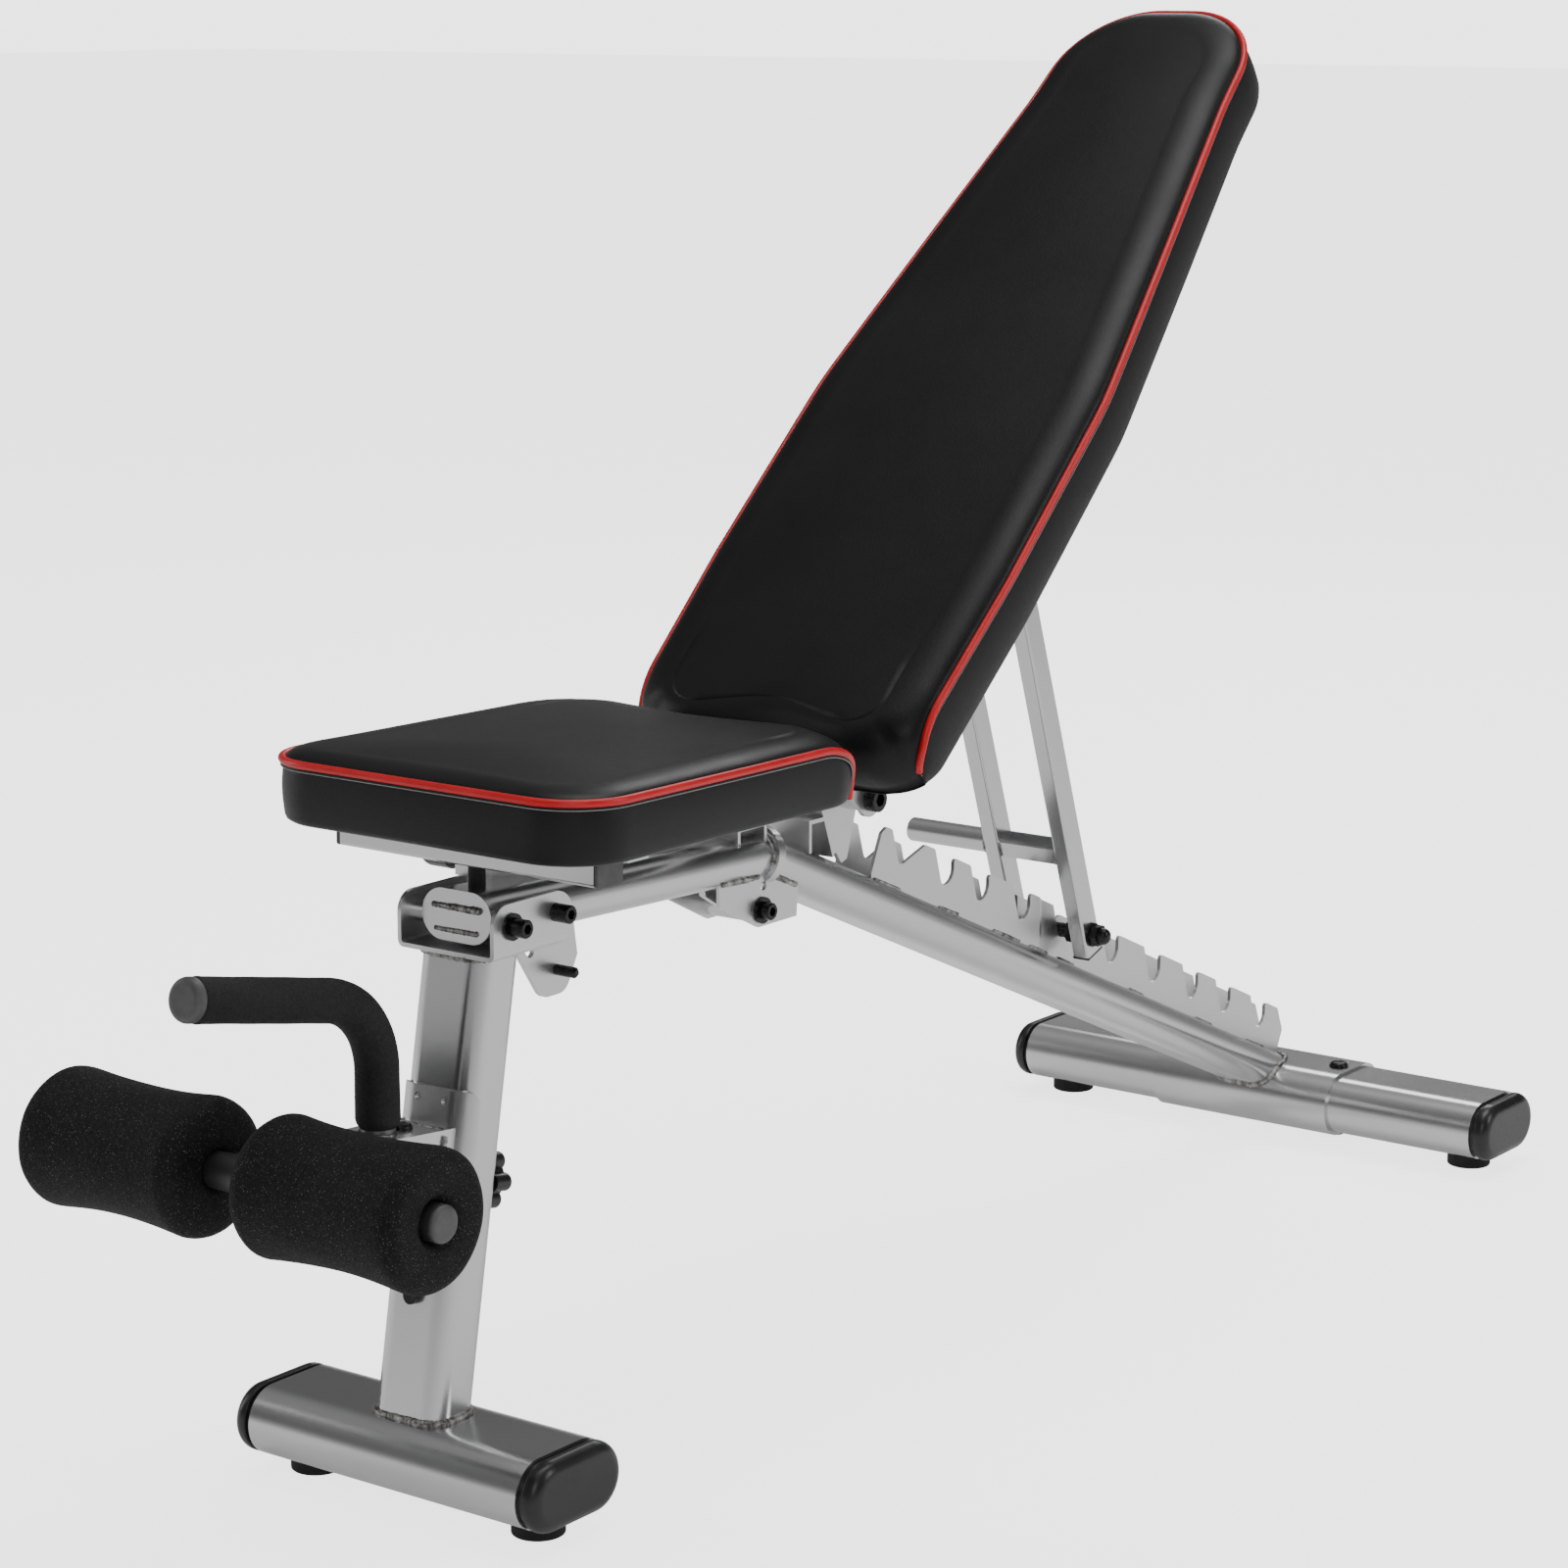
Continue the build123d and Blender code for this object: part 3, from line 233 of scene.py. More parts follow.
def piping_red():
    n = Nodes("red_piping_vinyl")
    cloud = n.noise(30.0, 3.0)
    color = n.mix(n.remap(cloud, 0.3, 0.7, 0.0, 1.0), (0.60, 0.004, 0.008), (0.72, 0.008, 0.014))
    normal = n.bump(n.noise(900.0, 3.0), 0.15, 0.0002)
    return n.finish(color, n.remap(cloud, 0.3, 0.7, 0.3, 0.42), 0.0, normal)


def thread():
    n = Nodes("grey_thread")
    twist = n.noise(2400.0, 2.0, vector=n.stretch(1.0, 1.0, 3.0))
    color = n.mix(twist, (0.22, 0.22, 0.22), (0.42, 0.42, 0.41))
    return n.finish(color, n.remap(twist, 0.3, 0.7, 0.55, 0.8), 0.0, n.bump(twist, 0.4, 0.0002))


def backing_cloth():
    """Black non-woven cloth stapled under the pads."""
    n = Nodes("backing_cloth")
    fibre = n.noise(1500.0, 4.0, 0.8, vector=n.stretch(1.0, 2.6, 1.0))
    color = n.mix(n.remap(fibre, 0.35, 0.65, 0.0, 1.0), (0.008, 0.008, 0.009), (0.03, 0.03, 0.031))
    return n.finish(color, 0.9, 0.0, n.bump(fibre, 0.5, 0.0003))


SILVER = painted_silver("silver_powder_coat", (0.66, 0.66, 0.665), (0.62, 0.62, 0.625), 0.21, 0.25)
PLATE = painted_silver("silver_plate_coat", (0.68, 0.68, 0.685), (0.64, 0.64, 0.645), 0.28, 0.34)
GREY = painted_silver("dark_grey_coat", (0.20, 0.20, 0.205), (0.15, 0.15, 0.155), 0.38, 0.46)
WELD, FASTENER, BRIGHT = weld_metal(), black_fastener(), bright_metal()
PLASTIC, GREY_PLASTIC, RUBBER = black_plastic(), grey_plastic(), rubber()
# the third value of each foam sets the strength of its painted glint flecks
FOAM = foam("roller_foam", 640.0, 1.0, 0.0035, 0.011)
GRIP_FOAM = foam("grip_foam", 900.0, 0.25, 0.016, 0.026)
VINYL = vinyl("black_vinyl", (0.0035, 0.0035, 0.0038), (0.0065, 0.0065, 0.0068), 0.34, 0.44)
SIDE_VINYL = vinyl("black_side_vinyl", (0.0045, 0.0045, 0.005), (0.008, 0.008, 0.0085), 0.38, 0.48, 1.3)
PIPING, THREAD, BACKING = piping_red(), thread(), backing_cloth()

SLOT_LOOK = {"silver_steel": SILVER, "grey_steel": GREY, "black_steel": FASTENER, "bright_steel": BRIGHT,
             "black_plastic": PLASTIC, "grey_plastic": GREY_PLASTIC, "black_rubber": RUBBER,
             "foam": FOAM, "vinyl": VINYL, "board": BACKING}
PLATES = ("ladder_plates", "knee_gussets", "keeper_plate", "clevis", "backrest_bracket", "leg_saddle",
          "seat_hinge_bracket", "seat_lock_bracket", "seat_quadrant", "backrest_rails", "seat_rails",
          "seat_ears")
node_slot = {s["node"]: s["material_slot"] for s in frame["record"]["subparts"]}
for node, obj in frame["nodes"].items():
    look = PLATE if node in PLATES else SLOT_LOOK[node_slot[node]]
    obj.data.materials.clear()
    obj.data.materials.append(look)


# ---- mesh helpers ---------------------------------------------------------------------------
def piece(name, verts, faces, material, body, slot_name, smooth=True):
    mesh = bpy.data.meshes.new(name)
    mesh.from_pydata([tuple(map(float, v)) for v in verts], [], [tuple(map(int, f)) for f in faces])
    mesh.validate()
    mesh.polygons.foreach_set("use_smooth", [smooth] * len(mesh.polygons))
    mesh.materials.append(material)
    obj = bpy.data.objects.new(name, mesh)
    bpy.context.scene.collection.objects.link(obj)
    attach(obj, body)
    return obj


def ring_faces(rings, around, first=0, close_along=False):
    """Quads between consecutive rings of equal length."""
    quads = []
    for r in range(rings if close_along else rings - 1):
        a, b = first + r * around, first + ((r + 1) % rings) * around
        quads += [(a + i, a + (i + 1) % around, b + (i + 1) % around, b + i) for i in range(around)]
    return quads


def tube_mesh(path, radius, closed=False, around=10):
    """Vertices and faces of a round tube along a path; radius is one value or one per point."""
    p = np.asarray(path, float)
    n = len(p)
    r = np.broadcast_to(np.asarray(radius, float), (n,))
    if closed:
        tangent = np.roll(p, -1, 0) - np.roll(p, 1, 0)
    else:
        tangent = np.gradient(p, axis=0)
    tangent /= np.linalg.norm(tangent, axis=1)[:, None]
    side = np.cross(tangent[0], (0.3, 0.5, 0.81))
    sides = []
    for t in tangent:
        side = side - t * side.dot(t)
        side /= np.linalg.norm(side)
        sides.append(side)
    sides = np.array(sides)
    ups = np.cross(tangent, sides)
    angle = np.arange(around) * 2 * math.pi / around
    ring = (sides[:, None] * np.cos(angle)[None, :, None] + ups[:, None] * np.sin(angle)[None, :, None])
    verts = (p[:, None] + ring * r[:, None, None]).reshape(-1, 3)
    faces = ring_faces(n, around, close_along=closed)
    if not closed:
        faces += [tuple(range(around))[::-1], tuple((n - 1) * around + i for i in range(around))]
    return verts, faces


def tube(name, path, radius, material, body, slot_name, closed=False, around=10):
    return piece(name, *tube_mesh(path, radius, closed, around), material, body, slot_name)


def join(name, parts, material, body, slot_name):
    """One piece from several vertex and face lists."""
    verts, faces, base = [], [], 0
    for v, f in parts:
        verts.append(np.asarray(v))
        faces += [tuple(base + i for i in q) for q in f]
        base += len(v)
    return piece(name, np.concatenate(verts), faces, material, body, slot_name)


def resample(points, step, closed=False):
    p = np.asarray(points, float)
    if closed:
        p = np.vstack([p, p[:1]])
    length = np.concatenate([[0], np.cumsum(np.linalg.norm(np.diff(p, axis=0), axis=1))])
    count = max(3, int(round(length[-1] / step)))
    at = np.linspace(0, length[-1], count, endpoint=not closed)
    return np.stack([np.interp(at, length, p[:, k]) for k in range(p.shape[1])], 1)


def rounded(corners, radii):
    """Closed outline through the corners with each one rounded by its own radius."""
    pts, n = [], len(corners)
    for i in range(n):
        prev, cur, nxt = (np.array(corners[k % n], float) for k in (i - 1, i, i + 1))
        a, b = (prev - cur) / np.linalg.norm(prev - cur), (nxt - cur) / np.linalg.norm(nxt - cur)
        half = math.acos(max(-1, min(1, a.dot(b)))) / 2
        setback = radii[i] / math.tan(half)
        centre = cur + (a + b) / np.linalg.norm(a + b) * radii[i] / math.sin(half)
        v0, v1 = cur + a * setback - centre, cur + b * setback - centre
        t0 = math.atan2(v0[1], v0[0])
        sweep = (math.atan2(v1[1], v1[0]) - t0 + math.pi) % (2 * math.pi) - math.pi
        count = max(2, int(abs(sweep) / 0.06))
        for k in range(count + 1):
            t = t0 + sweep * k / count
            pts.append(centre + radii[i] * np.array([math.cos(t), math.sin(t)]))
    return np.array(pts)


# ---- places on the frame, in metres ---------------------------------------------------------
BACK_PIVOT, BACK_ANGLE = np.array([-0.690, 0.423]), math.radians(42.3)
SEAT_HINGE, SEAT_LIFT = np.array([-0.804, 0.434]), math.radians(0.9)


def on_back(x, s, n):
    """x across, s up the backrest from its pivot, n out of its face."""
    c, d = math.cos(BACK_ANGLE), math.sin(BACK_ANGLE)
    return np.stack([x + 0 * s, BACK_PIVOT[0] + s * c - n * d + OY, BACK_PIVOT[1] + s * d + n * c], -1)


def on_seat(x, y, z):
    """A place on the level seat, tilted about the seat's hinge."""
    c, d = math.cos(SEAT_LIFT), math.sin(SEAT_LIFT)
    dy, dz = y - SEAT_HINGE[0], z - SEAT_HINGE[1]
    return np.stack([x + 0 * y, SEAT_HINGE[0] + dy * c + dz * d + OY, SEAT_HINGE[1] - dy * d + dz * c], -1)


# ---- pads -----------------------------------------------------------------------------------
def piping_height(outline, full, fall_corners, fall=0.056):
    """Height of the piping along the outline: it drops to the underside at the waterfall corners."""
    step = np.linalg.norm(np.roll(outline, -1, 0) - outline, axis=1)
    at, total = np.concatenate([[0], np.cumsum(step)[:-1]]), step.sum()
    lows = [at[np.argmin(np.linalg.norm(outline - c, axis=1))] for c in fall_corners]
    first, last = min(lows), max(lows)
    inside = (at > first) & (at < last)
    outside_gap = np.minimum((first - at) % total, (at - last) % total)
    inside_is_end = (last - first) < total / 2
    gap = np.where(inside, np.minimum(at - first, last - at), outside_gap)
    at_end = inside if inside_is_end else ~inside
    u = np.clip(gap / fall, 0, 1)
    return np.where(at_end, 0.0, full * np.sqrt(1 - (1 - u) ** 2)), at_end


def soften(values, spread):
    """Blur a closed run of values, so neighbouring columns of the cover change gently."""
    k = np.exp(-0.5 * (np.arange(-3 * spread, 3 * spread + 1) / spread) ** 2)
    padded = np.concatenate([values[-3 * spread:], values, values[:3 * spread]])
    return np.convolve(padded, k / k.sum(), "valid")


def pad_rings(outline, centre, half, heights, full, crown, lip):
    """Rings from the middle of the underside, out around the side band and in over the crown."""
    rings, tags = [], []
    soft = soften(heights, 15)
    reach_in = half[0] * 0.85
    low_end, high_end = centre[1] - half[1] + reach_in, centre[1] + half[1] - reach_in
    spine = np.column_stack([np.full(len(outline), centre[0]), np.clip(outline[:, 1], low_end, high_end)])
    depth = np.linalg.norm(outline - spine, axis=1)

    def ring(inset, n, tag):
        k = (1 - np.minimum(inset / depth, 0.998))[:, None]
        rings.append(np.column_stack([spine + (outline - spine) * k, n + 0 * depth]))
        tags.append(tag)

    for share in (0.97, 0.75, 0.5, 0.3):
        ring(depth * share, -0.0006, "under")
    for inset, n in ((0.012, -0.0006), (0.004, -0.0004), (0.0012, 0.0012), (0.0, 0.004)):
        ring(inset, np.minimum(n, heights * 0.3 + n * 0.2), "side")
    for k in (0.22, 0.36, 0.5, 0.64, 0.78, 0.9):
        level = np.maximum(0.004 + (heights - 0.004) * k, 0.001 + 0.002 * k)
        ring(-0.0016 * math.sin(math.pi * k), level, "side")
    ring(0.0004, heights - 0.0006 + 0.003 * (heights < 0.004), "seam")
    reach = lip + (full - soft) * 0.36
    for u in (0.02, 0.06, 0.12, 0.2, 0.3, 0.42, 0.55, 0.68, 0.8, 0.9, 0.97, 1.0):
        rise = math.sqrt(1 - (1 - u) ** 2.2)
        ring(0.001 + reach * u, heights + (full + crown - heights) * rise, "top")
    edge = lip + 0.001
    for k in (0.04, 0.1, 0.2, 0.35, 0.5, 0.65, 0.8, 0.92, 0.995):
        inset = np.maximum(edge + (depth - edge) * k, reach + 0.001 + 0.004 * k)
        ring(inset, full + crown + 0.0025 * math.sin(k * math.pi / 2), "top")
    return rings, tags


def build_pad(name, node, body, flat_place, corners, radii, fall_points, full, crown, lip, board_n, tuck):
    """Pad with a crowned top panel, side band, red piping, thread line and underside cloth."""
    outline = resample(rounded(corners, radii), 0.005, closed=True)
    lo, hi = outline.min(0), outline.max(0)
    centre, half = (lo + hi) / 2, (hi - lo) / 2
    end, inward, amount = tuck

    def place(x, s, n):
        """Draw the lower edge of the waterfall end in under the pad."""
        near = np.clip(1 - np.abs(s - end) / 0.075, 0, 1)
        low_down = np.clip(1 - (n - board_n) / full, 0, 1)
        return flat_place(x, s + inward * amount * near ** 2 * low_down ** 1.6, n)

    heights, at_end = piping_height(outline, full, fall_points)
    rings, tags = pad_rings(outline, centre, half, heights, full, crown, lip)
    around = len(outline)
    local = np.concatenate(rings)
    verts = place(local[:, 0], local[:, 1], local[:, 2] + board_n)
    faces = ring_faces(len(rings), around)
    faces += [tuple(range(around))[::-1], tuple((len(rings) - 1) * around + i for i in range(around))]
    pad = piece(name, verts, faces, VINYL, body, "vinyl")
    pad.data.materials.append(SIDE_VINYL)
    pad.data.materials.append(BACKING)
    slot_of = [{"under": 2, "side": 1, "seam": 1, "top": 0}[t] for t in tags]
    index = np.zeros(len(pad.data.polygons), int)
    index[:(len(rings) - 1) * around] = np.repeat(slot_of[:-1], around)
    index[(len(rings) - 1) * around] = 2
    pad.data.polygons.foreach_set("material_index", index.tolist())
    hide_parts(node)
    run = np.where(~at_end)[0]
    start = run[np.argmax(np.diff(np.concatenate([[run[-1] - around], run])))]
    order = [(start + k) % around for k in range(len(run))]
    line = np.column_stack([outline[order], heights[order]])
    outward = line[:, :2] - centre
    outward /= np.linalg.norm(outward, axis=1)[:, None]
    add_piping(name, body, place, line, outward, board_n)
    return pad


def add_piping(name, body, place, line, outward, board_n):
    """Red cord piping on the seam, its sewn flange, and a light thread line just below it."""
    def path(out, down):
        xy = line[:, :2] + outward * out
        return place(xy[:, 0], xy[:, 1], np.maximum(line[:, 2] - down, 0.0006) + board_n)

    tube(name + "_piping", path(0.0012, 0.0), 0.0029, PIPING, body, "vinyl", around=12)
    tube(name + "_piping_flange", path(0.0014, 0.0034), 0.0011, SIDE_VINYL, body, "vinyl", around=8)
    seam = resample(path(0.0022, 0.0046), 0.0006)
    tube(name + "_thread", seam[::2], 0.00042, THREAD, body, "vinyl", around=6)


def build_pads():
    sides = [(0.130, -0.036), (0.135, 0.150), (0.132, 0.330), (0.109, 0.513), (0.091, 0.650), (0.084, 0.757)]
    corners = sides + [(-x, s) for x, s in reversed(sides)]
    radii = [0.042, 0.5, 0.30, 0.5, 0.35, 0.074]
    radii = radii + radii[::-1]
    build_pad("backrest_cushion", "backrest_pad", "backrest", on_back, corners, radii,
              [(0.1225, -0.016), (-0.1225, -0.016)], 0.0445, 0.013, 0.030, 0.044, (-0.036, 1, 0.013))
    h, r = 0.146, 0.047
    corners = [(h, -1.150), (h - 0.005, -0.817), (0.005 - h, -0.817), (-h, -1.150)]
    build_pad("seat_cushion", "seat_pad", "seat", on_seat, corners, [r] * 4,
              [(h - 0.019, -0.831), (0.019 - h, -0.831)], 0.0425, 0.008, 0.028, 0.4555, (-0.817, -1, 0.004))


# ---- foam pieces ----------------------------------------------------------------------------
def build_roller(name, node, way):
    """Moulded foam roller: soft shoulders, faint waist and dished end faces."""
    box = np.array(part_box(node))
    y, z = (box[0][1:] + box[1][1:]) / 2
    a, b = sorted(abs(box[:, 0]))
    r = (box[1][2] - box[0][2]) / 2
    bore, mid, half = 0.0130, (a + b) / 2, (b - a) / 2
    profile = [(a + 0.003, bore), (a + 0.0012, bore + 0.004), (a + 0.0004, r * 0.55), (a, r - 0.016)]
    for k in np.linspace(0, math.pi / 2, 9)[1:]:
        profile.append((a + 0.014 * (1 - math.cos(k)), r - 0.015 + 0.015 * math.sin(k)))
    for k in np.linspace(-0.78, 0.82, 21):
        profile.append((mid + half * k, r - 0.0034 * max(0.0, 1 - (k / 0.8) ** 2)))
    for k in np.linspace(math.pi / 2, 0, 9)[:-1]:
        profile.append((b - 0.010 * (1 - math.cos(k)), r - 0.011 + 0.011 * math.sin(k)))
    profile += [(b, r - 0.012), (b - 0.0005, r * 0.55), (b - 0.0012, bore + 0.006),
                (b - 0.006, bore + 0.0015), (b - 0.009, bore)]
    around = 96
    verts = []
    for x, rad in profile:
        for i in range(around):
            t = 2 * math.pi * i / around
            wob = 1 + 0.004 * math.sin(3 * t + 40 * x) + 0.003 * math.sin(7 * t - 60 * x)
            wob = 1 + (wob - 1) * (rad > 0.02)
            verts.append((way * x, y + rad * wob * math.cos(t), z + rad * wob * math.sin(t)))
    faces = ring_faces(len(profile), around, close_along=True)
    if way < 0:
        faces = [f[::-1] for f in faces]
    roller = piece(name, verts, faces, FOAM, node, "foam")
    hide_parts(node)


HANDLE_RISE, HANDLE_R = math.radians(11.8), 0.058


def handle_line(start_z, short):
    """Centre line of the bent handle from a height on its upright to a distance short of the tip."""
    y0, tip = -1.1905, np.array([-1.3685, 0.3997])
    run = np.array([-math.cos(HANDLE_RISE), math.sin(HANDLE_RISE)])
    end = tip - run * short
    corner_z = tip[1] - (y0 - tip[0]) * math.tan(HANDLE_RISE)
    setback = HANDLE_R * math.tan((math.pi / 2 - HANDLE_RISE) / 2)
    turn = math.pi / 2 - HANDLE_RISE
    pts = [(y0, z) for z in np.linspace(start_z, corner_z - setback, 12)]
    pts += [(y0 - HANDLE_R + HANDLE_R * math.cos(t), corner_z - setback + HANDLE_R * math.sin(t))
            for t in np.linspace(0, turn, 24)[1:]]
    last = np.array(pts[-1])
    pts += [tuple(last + (end - last) * k) for k in np.linspace(0, 1, 20)[1:]]
    return np.array([(0.0, y + OY, z) for y, z in pts])


def build_grip():
    """Foam sleeve pulled over the bent handle, a little fuller at its ends."""
    line = resample(handle_line(0.276, 0.007), 0.003)
    n = len(line)
    k = np.linspace(0, 1, n)
    radius = 0.0152 + 0.00012 * np.sin(k * 31) * np.sin(k * 13) + 0.0004 * np.exp(-((k - 0.0) / 0.03) ** 2)
    radius[:3] = (0.0127, 0.0146, 0.0154)
    radius[-3:] = (0.0155, 0.0150, 0.0142)
    grip = tube("handle_grip", line, radius, GRIP_FOAM, "base_frame", "foam", around=40)
    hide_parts("handle_foam")


# ---- weld beads -----------------------------------------------------------------------------
def bead(points, radius, closed=False, seed=1):
    """Lumpy fillet along a path, given in metres with Y measured from the rear foot tube."""
    p = np.asarray(points, float) + (0.0, OY, 0.0)
    p = resample(p, 0.0011, closed)
    rng = np.random.default_rng(seed)
    n = len(p)
    ripple = 1 + 0.16 * np.sin(np.arange(n) * 2 * math.pi / 2.9 + rng.normal(0, 0.5, n).cumsum() * 0.3)
    slow = 1 + 0.13 * np.sin(np.arange(n) * 0.11 + seed) + rng.normal(0, 0.045, n)
    r = radius * ripple * slow
    if not closed:
        r[0], r[-1] = r[0] * 0.35, r[-1] * 0.35
    p = p + rng.normal(0, radius * 0.06, p.shape)
    return tube_mesh(p, r, closed, 8)


def oval(y, z, w, h, tilt, grow=0.0):
    """Flat-oval loop square to a direction tilted down by tilt, centred at (y, z)."""
    r, straight = h / 2 + grow, (w - h) / 2
    loop = []
    for t in np.linspace(0, 2 * math.pi, 72, endpoint=False):
        x = (straight if math.cos(t) > 0 else -straight) + r * math.cos(t)
        up = r * math.sin(t)
        loop.append((x, y + up * math.sin(tilt), z + up * math.cos(tilt)))
    return loop


def rect_loop(y, z, hx, hy, r):
    outline = rounded([(hx, -hy), (hx, hy), (-hx, hy), (-hx, -hy)], [r] * 4)
    return [(p[0], y + p[1], z) for p in outline]


def cope_line():
    """Where the sloping rear tube lands on the sleeve around the rear foot tube."""
    slope = math.atan2(0.392 - 0.0556, 0.770)
    along = np.array([math.cos(slope), -math.sin(slope)])
    loop = []
    for x, y, z in oval(-0.20, 0.392 - 0.585 * math.tan(slope), 0.060, 0.035, slope, 0.0004):
        q = np.array([y, z])
        for _ in range(60):
            gap = math.hypot(max(abs(q[0]) - 0.0225, 0), q[1] - 0.039) - 0.0283
            q = q + along * max(gap, 0.0) * 0.8
        loop.append((x, q[0], q[1]))
    return loop


KNEE_Y, KNEE_Z = -0.785, 0.392                # where the two main tubes' centre lines meet
FRONT_SLOPE, REAR_SLOPE = 0.03875, 0.43688    # fall of each main tube per length towards the rear


def tube_top(y):
    """Height of the rear tube's upper face."""
    return KNEE_Z - (y - KNEE_Y) * REAR_SLOPE + 0.0175 / math.cos(0.4119)


def build_welds():
    beads = [bead(rect_loop(-1.1503, 0.0648, 0.0312, 0.0236, 0.0155), 0.0026, True, 1),
             bead(rect_loop(-1.0943, 0.3792, 0.0308, 0.0232, 0.0152), 0.0024, True, 2),
             bead(cope_line(), 0.0025, True, 3)]
    beads.append(bead(oval(-0.7896, 0.3921, 0.060, 0.035, 0.04, 0.0005), 0.0017, True, 4))
    beads.append(bead(oval(-0.7805, 0.3899, 0.060, 0.035, 0.41, 0.0005), 0.0017, True, 5))
    for side in (1, -1):
        for i, (a, b) in enumerate(((-0.645, -0.610), (-0.556, -0.530), (-0.478, -0.440), (-0.425, -0.398))):
            stitch = [(side * 0.0185, y, tube_top(y) - 0.0006) for y in (a, b)]
            beads.append(bead(stitch, 0.0014, seed=10 + i))
        for i, (a, b) in enumerate(((-0.375, -0.350), (-0.262, -0.238), (-0.150, -0.122), (-0.060, -0.030))):
            stitch = [(side * 0.0136, y, tube_top(y) + 0.0002) for y in (a, b)]
            beads.append(bead(stitch, 0.0014, seed=20 + i))
        front = [(side * 0.0253, y, 0.4044 - (y + 1.105) * FRONT_SLOPE - 0.0127)
                 for y in np.linspace(-0.846, -0.800, 8)]
        rear = [(side * 0.0253, y, KNEE_Z - (y - KNEE_Y) * REAR_SLOPE - 0.0133)
                for y in np.linspace(-0.781, -0.755, 6)]
        beads += [bead(front, 0.0021, seed=31), bead(rear, 0.0020, seed=32)]
        arm_root = [(side * 0.0238, y, z) for y, z in ((-1.1505, 0.2640), (-1.1545, 0.2410))]
        beads.append(bead(arm_root, 0.0018, seed=33))
    beads.append(bead([(x, -1.1498, 0.2668) for x in np.linspace(-0.022, 0.022, 6)], 0.0020, seed=40))
    upright = [(0.0124 * math.cos(t), -1.1905 + 0.0124 * math.sin(t), 0.2712 - 0.0012 * math.sin(t))
               for t in np.linspace(0, 2 * math.pi, 28, endpoint=False)]
    beads.append(bead(upright, 0.0015, True, seed=41))
    ends = [(x, -1.1082 + 0.0008 * math.sin(x * 300), 0.4105) for x in np.linspace(-0.022, 0.022, 10)]
    beads.append(bead(ends, 0.0022, seed=42))
    beads.append(bead([(x, -1.1083, 0.3942) for x in np.linspace(-0.020, 0.020, 8)], 0.0017, seed=43))
    for x in (-0.0255, 0.0255):
        beads.append(bead([(x, -0.8245, 0.4066), (x * 0.82, -0.8245, 0.4098)], 0.0012, seed=44))
        beads.append(bead([(x, -0.7365, 0.3800), (x * 0.8, -0.7365, 0.3850)], 0.0012, seed=45))
    join("weld_beads", beads, WELD, "base_frame", "silver_steel")
    lean = math.radians(19.0)
    up = np.array([-math.sin(lean), math.cos(lean)])
    frame_beads = []
    stub = np.array([-0.3675, 0.255]) + up * 0.077
    loop = [(-0.0422, stub[0] + 0.0104 * math.cos(t), stub[1] + 0.0104 * math.sin(t))
            for t in np.linspace(0, 2 * math.pi, 24, endpoint=False)]
    frame_beads.append(bead(loop, 0.0014, True, 50))
    for x in (-0.0268, 0.0268):
        for out in (-0.0102, 0.0102):
            low = np.array([-0.3675, 0.255]) + up * 0.070 + np.array([up[1], -up[0]]) * out
            high = low + up * 0.012
            frame_beads.append(bead([(x, *low), (x, *high)], 0.0013, seed=51))
    join("support_frame_welds", frame_beads, WELD, "support_frame", "silver_steel")


# ---- studio ---------------------------------------------------------------------------------
def area(name, at, look, size, power, size_y=None):
    data = bpy.data.lights.new(name, "AREA")
    data.energy, data.size = power, size
    if size_y:
        data.shape, data.size_y = "RECTANGLE", size_y
    obj = bpy.data.objects.new(name, data)
    obj.location = at
    obj.rotation_euler = (Vector(look) - Vector(at)).to_track_quat("-Z", "Y").to_euler()
    bpy.context.scene.collection.objects.link(obj)


BACKDROP = 3.2                    # brightness of the white background as the camera sees it


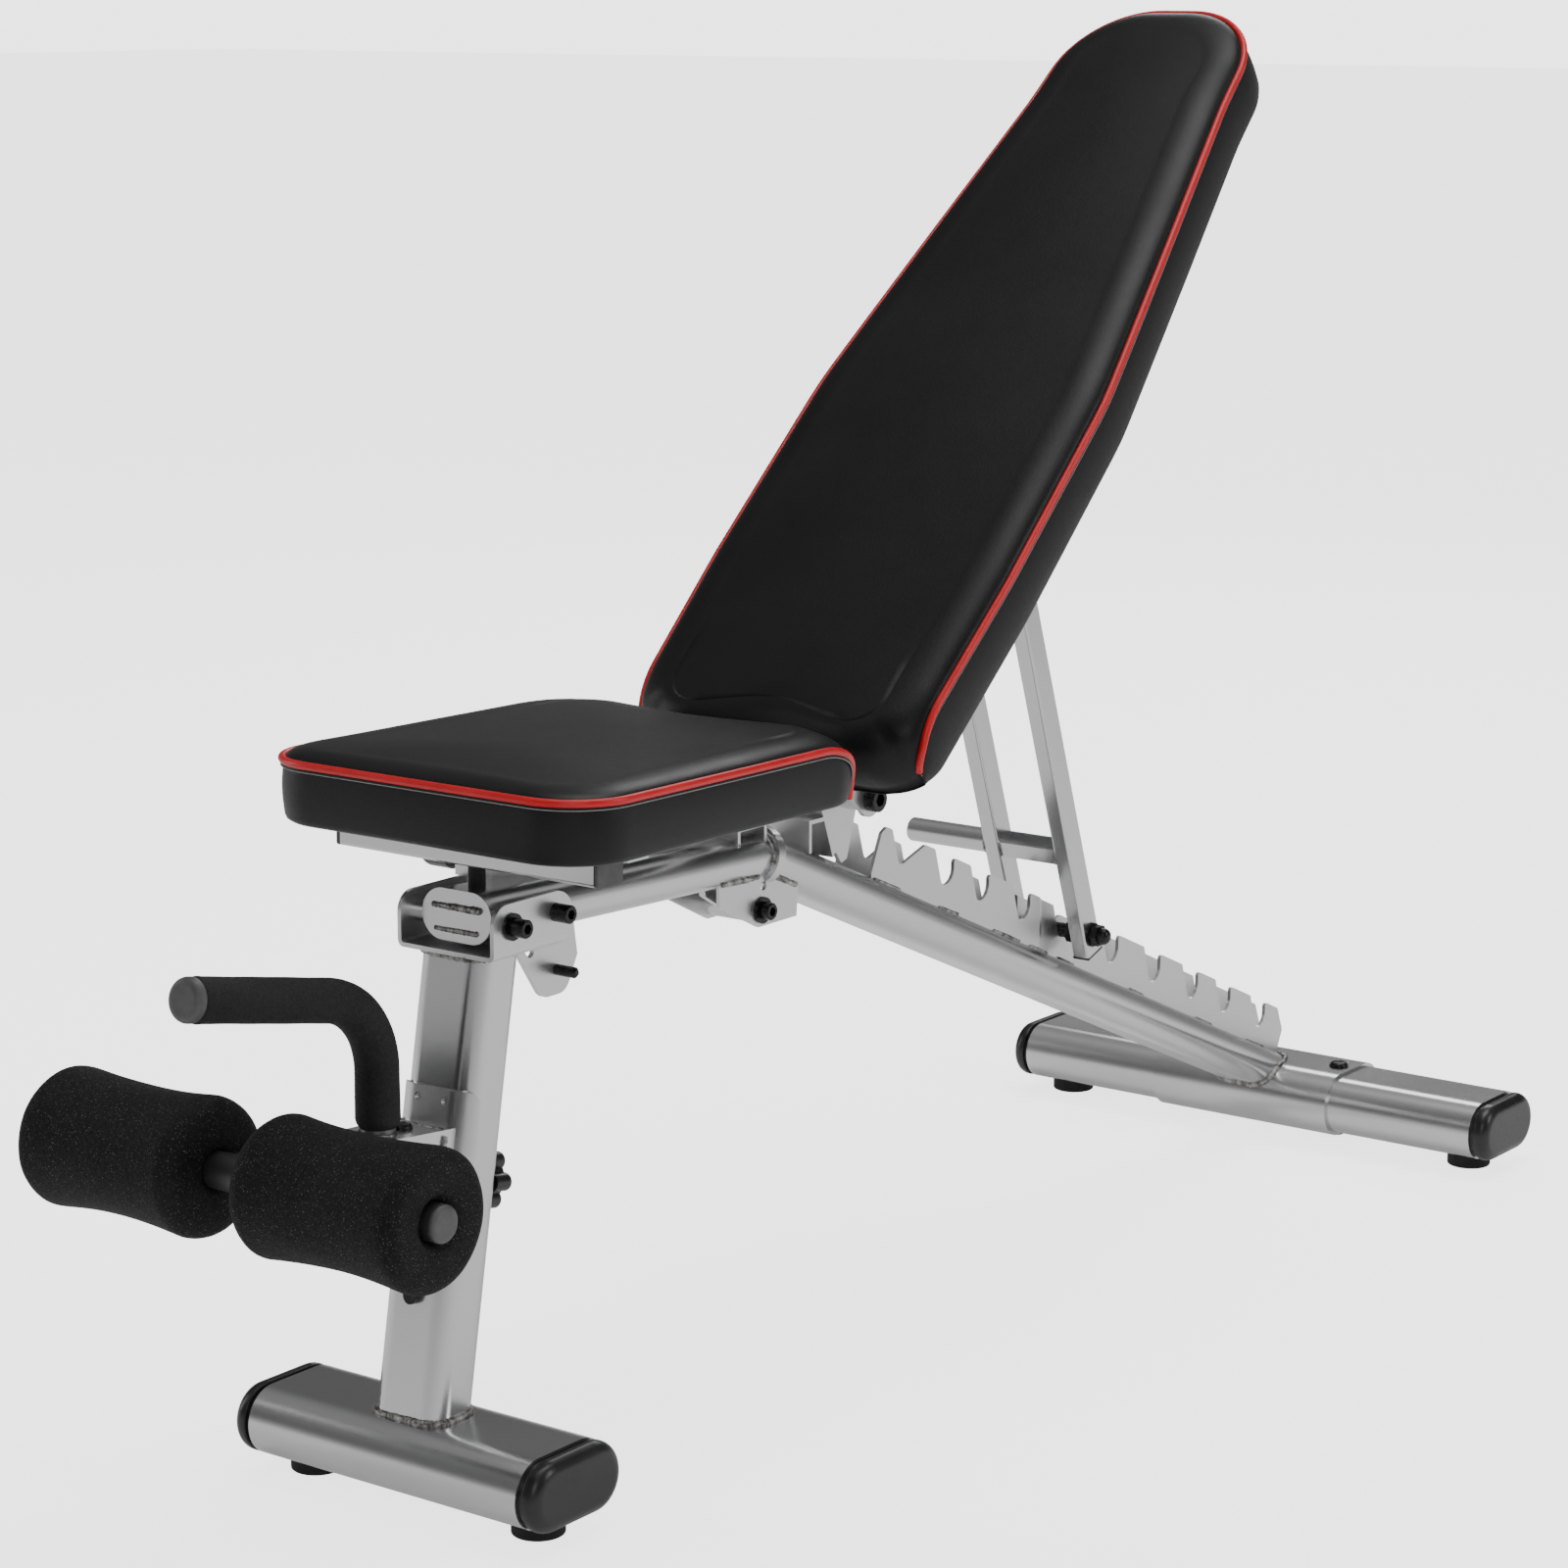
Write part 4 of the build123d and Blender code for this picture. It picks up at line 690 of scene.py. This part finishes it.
def build_world():
    """White to the camera; dim low down and bright overhead as a light, like a dark-walled studio."""
    world = bpy.data.worlds.new("studio")
    bpy.context.scene.world = world
    world.use_nodes = True
    tree = world.node_tree
    light = tree.nodes["Background"]
    coord = tree.nodes.new("ShaderNodeTexCoord")
    split = tree.nodes.new("ShaderNodeSeparateXYZ")
    ramp = tree.nodes.new("ShaderNodeValToRGB")
    tree.links.new(coord.outputs["Generated"], split.inputs["Vector"])
    tree.links.new(split.outputs["Z"], ramp.inputs["Fac"])
    tree.links.new(ramp.outputs["Color"], light.inputs["Color"])
    stops = ramp.color_ramp.elements
    stops[0].position, stops[0].color = 0.0, (0.55, 0.55, 0.55, 1)
    stops[1].position, stops[1].color = 1.0, (1.0, 1.0, 1.0, 1)
    for at, v in ((0.08, 0.30), (0.22, 0.10), (0.60, 0.13), (0.86, 0.35)):
        stops.new(at).color = (v, v, v, 1)
    seen = tree.nodes.new("ShaderNodeBackground")
    seen.inputs["Color"].default_value = (1, 1, 1, 1)
    seen.inputs["Strength"].default_value = BACKDROP
    path = tree.nodes.new("ShaderNodeLightPath")
    mix = tree.nodes.new("ShaderNodeMixShader")
    tree.links.new(path.outputs["Is Camera Ray"], mix.inputs["Fac"])
    tree.links.new(light.outputs["Background"], mix.inputs[1])
    tree.links.new(seen.outputs["Background"], mix.inputs[2])
    tree.links.new(mix.outputs["Shader"], tree.nodes["World Output"].inputs["Surface"])


def build_studio():
    mesh = bpy.data.meshes.new("floor")
    mesh.from_pydata([(-40, -40, 0), (40, -40, 0), (40, 40, 0), (-40, 40, 0)], [], [(0, 1, 2, 3)])
    floor = bpy.data.objects.new("floor", mesh)
    bpy.context.scene.collection.objects.link(floor)
    n = Nodes("pale_floor")
    floor_look = n.finish((0.9, 0.9, 0.9), 0.85, Specular_IOR_Level=0.05, Emission_Color=(1, 1, 1, 1))
    gate = n.tree.nodes.new("ShaderNodeLightPath").outputs["Is Camera Ray"]
    n.put(n.bsdf, "Emission Strength", n.remap(gate, 0.0, 1.0, 0.22, BACKDROP - 0.75))
    mesh.materials.append(floor_look)
    build_world()
    area("front_box", (2.6, -3.6, 2.6), (0, 0, 0.4), 1.4, 26, 2.2)
    area("left_box", (-3.4, -1.6, 1.5), (0, 0, 0.4), 0.8, 22, 2.2)
    area("right_box", (3.6, 1.4, 2.2), (0, 0.1, 0.4), 0.9, 34, 2.2)
    area("top_box", (0.2, 0.6, 3.6), (0, 0.1, 0.3), 1.6, 42, 2.4)
    area("rear_box", (-1.2, 3.6, 2.6), (0, 0, 0.5), 2.0, 34, 1.2)
    cam = bpy.data.cameras.new("camera")
    cam.sensor_width, cam.lens = 36.0, 4100.3 / 1600 * 36
    cam.clip_end = 200
    camera = bpy.data.objects.new("camera", cam)
    az, el = math.radians(36.66), math.radians(11.37)
    back = Vector((math.sin(az) * math.cos(el), -math.cos(az) * math.cos(el), math.sin(el)))
    camera.location = (1.7627, -3.1044 + OY, 1.0297)
    camera.rotation_euler = back.to_track_quat("Z", "Y").to_euler()
    bpy.context.scene.collection.objects.link(camera)
    bpy.context.scene.camera = camera


build_pads()
build_roller("near_roller_foam", "roller_near", 1)
build_roller("far_roller_foam", "roller_far", -1)
build_grip()
build_welds()
build_studio()
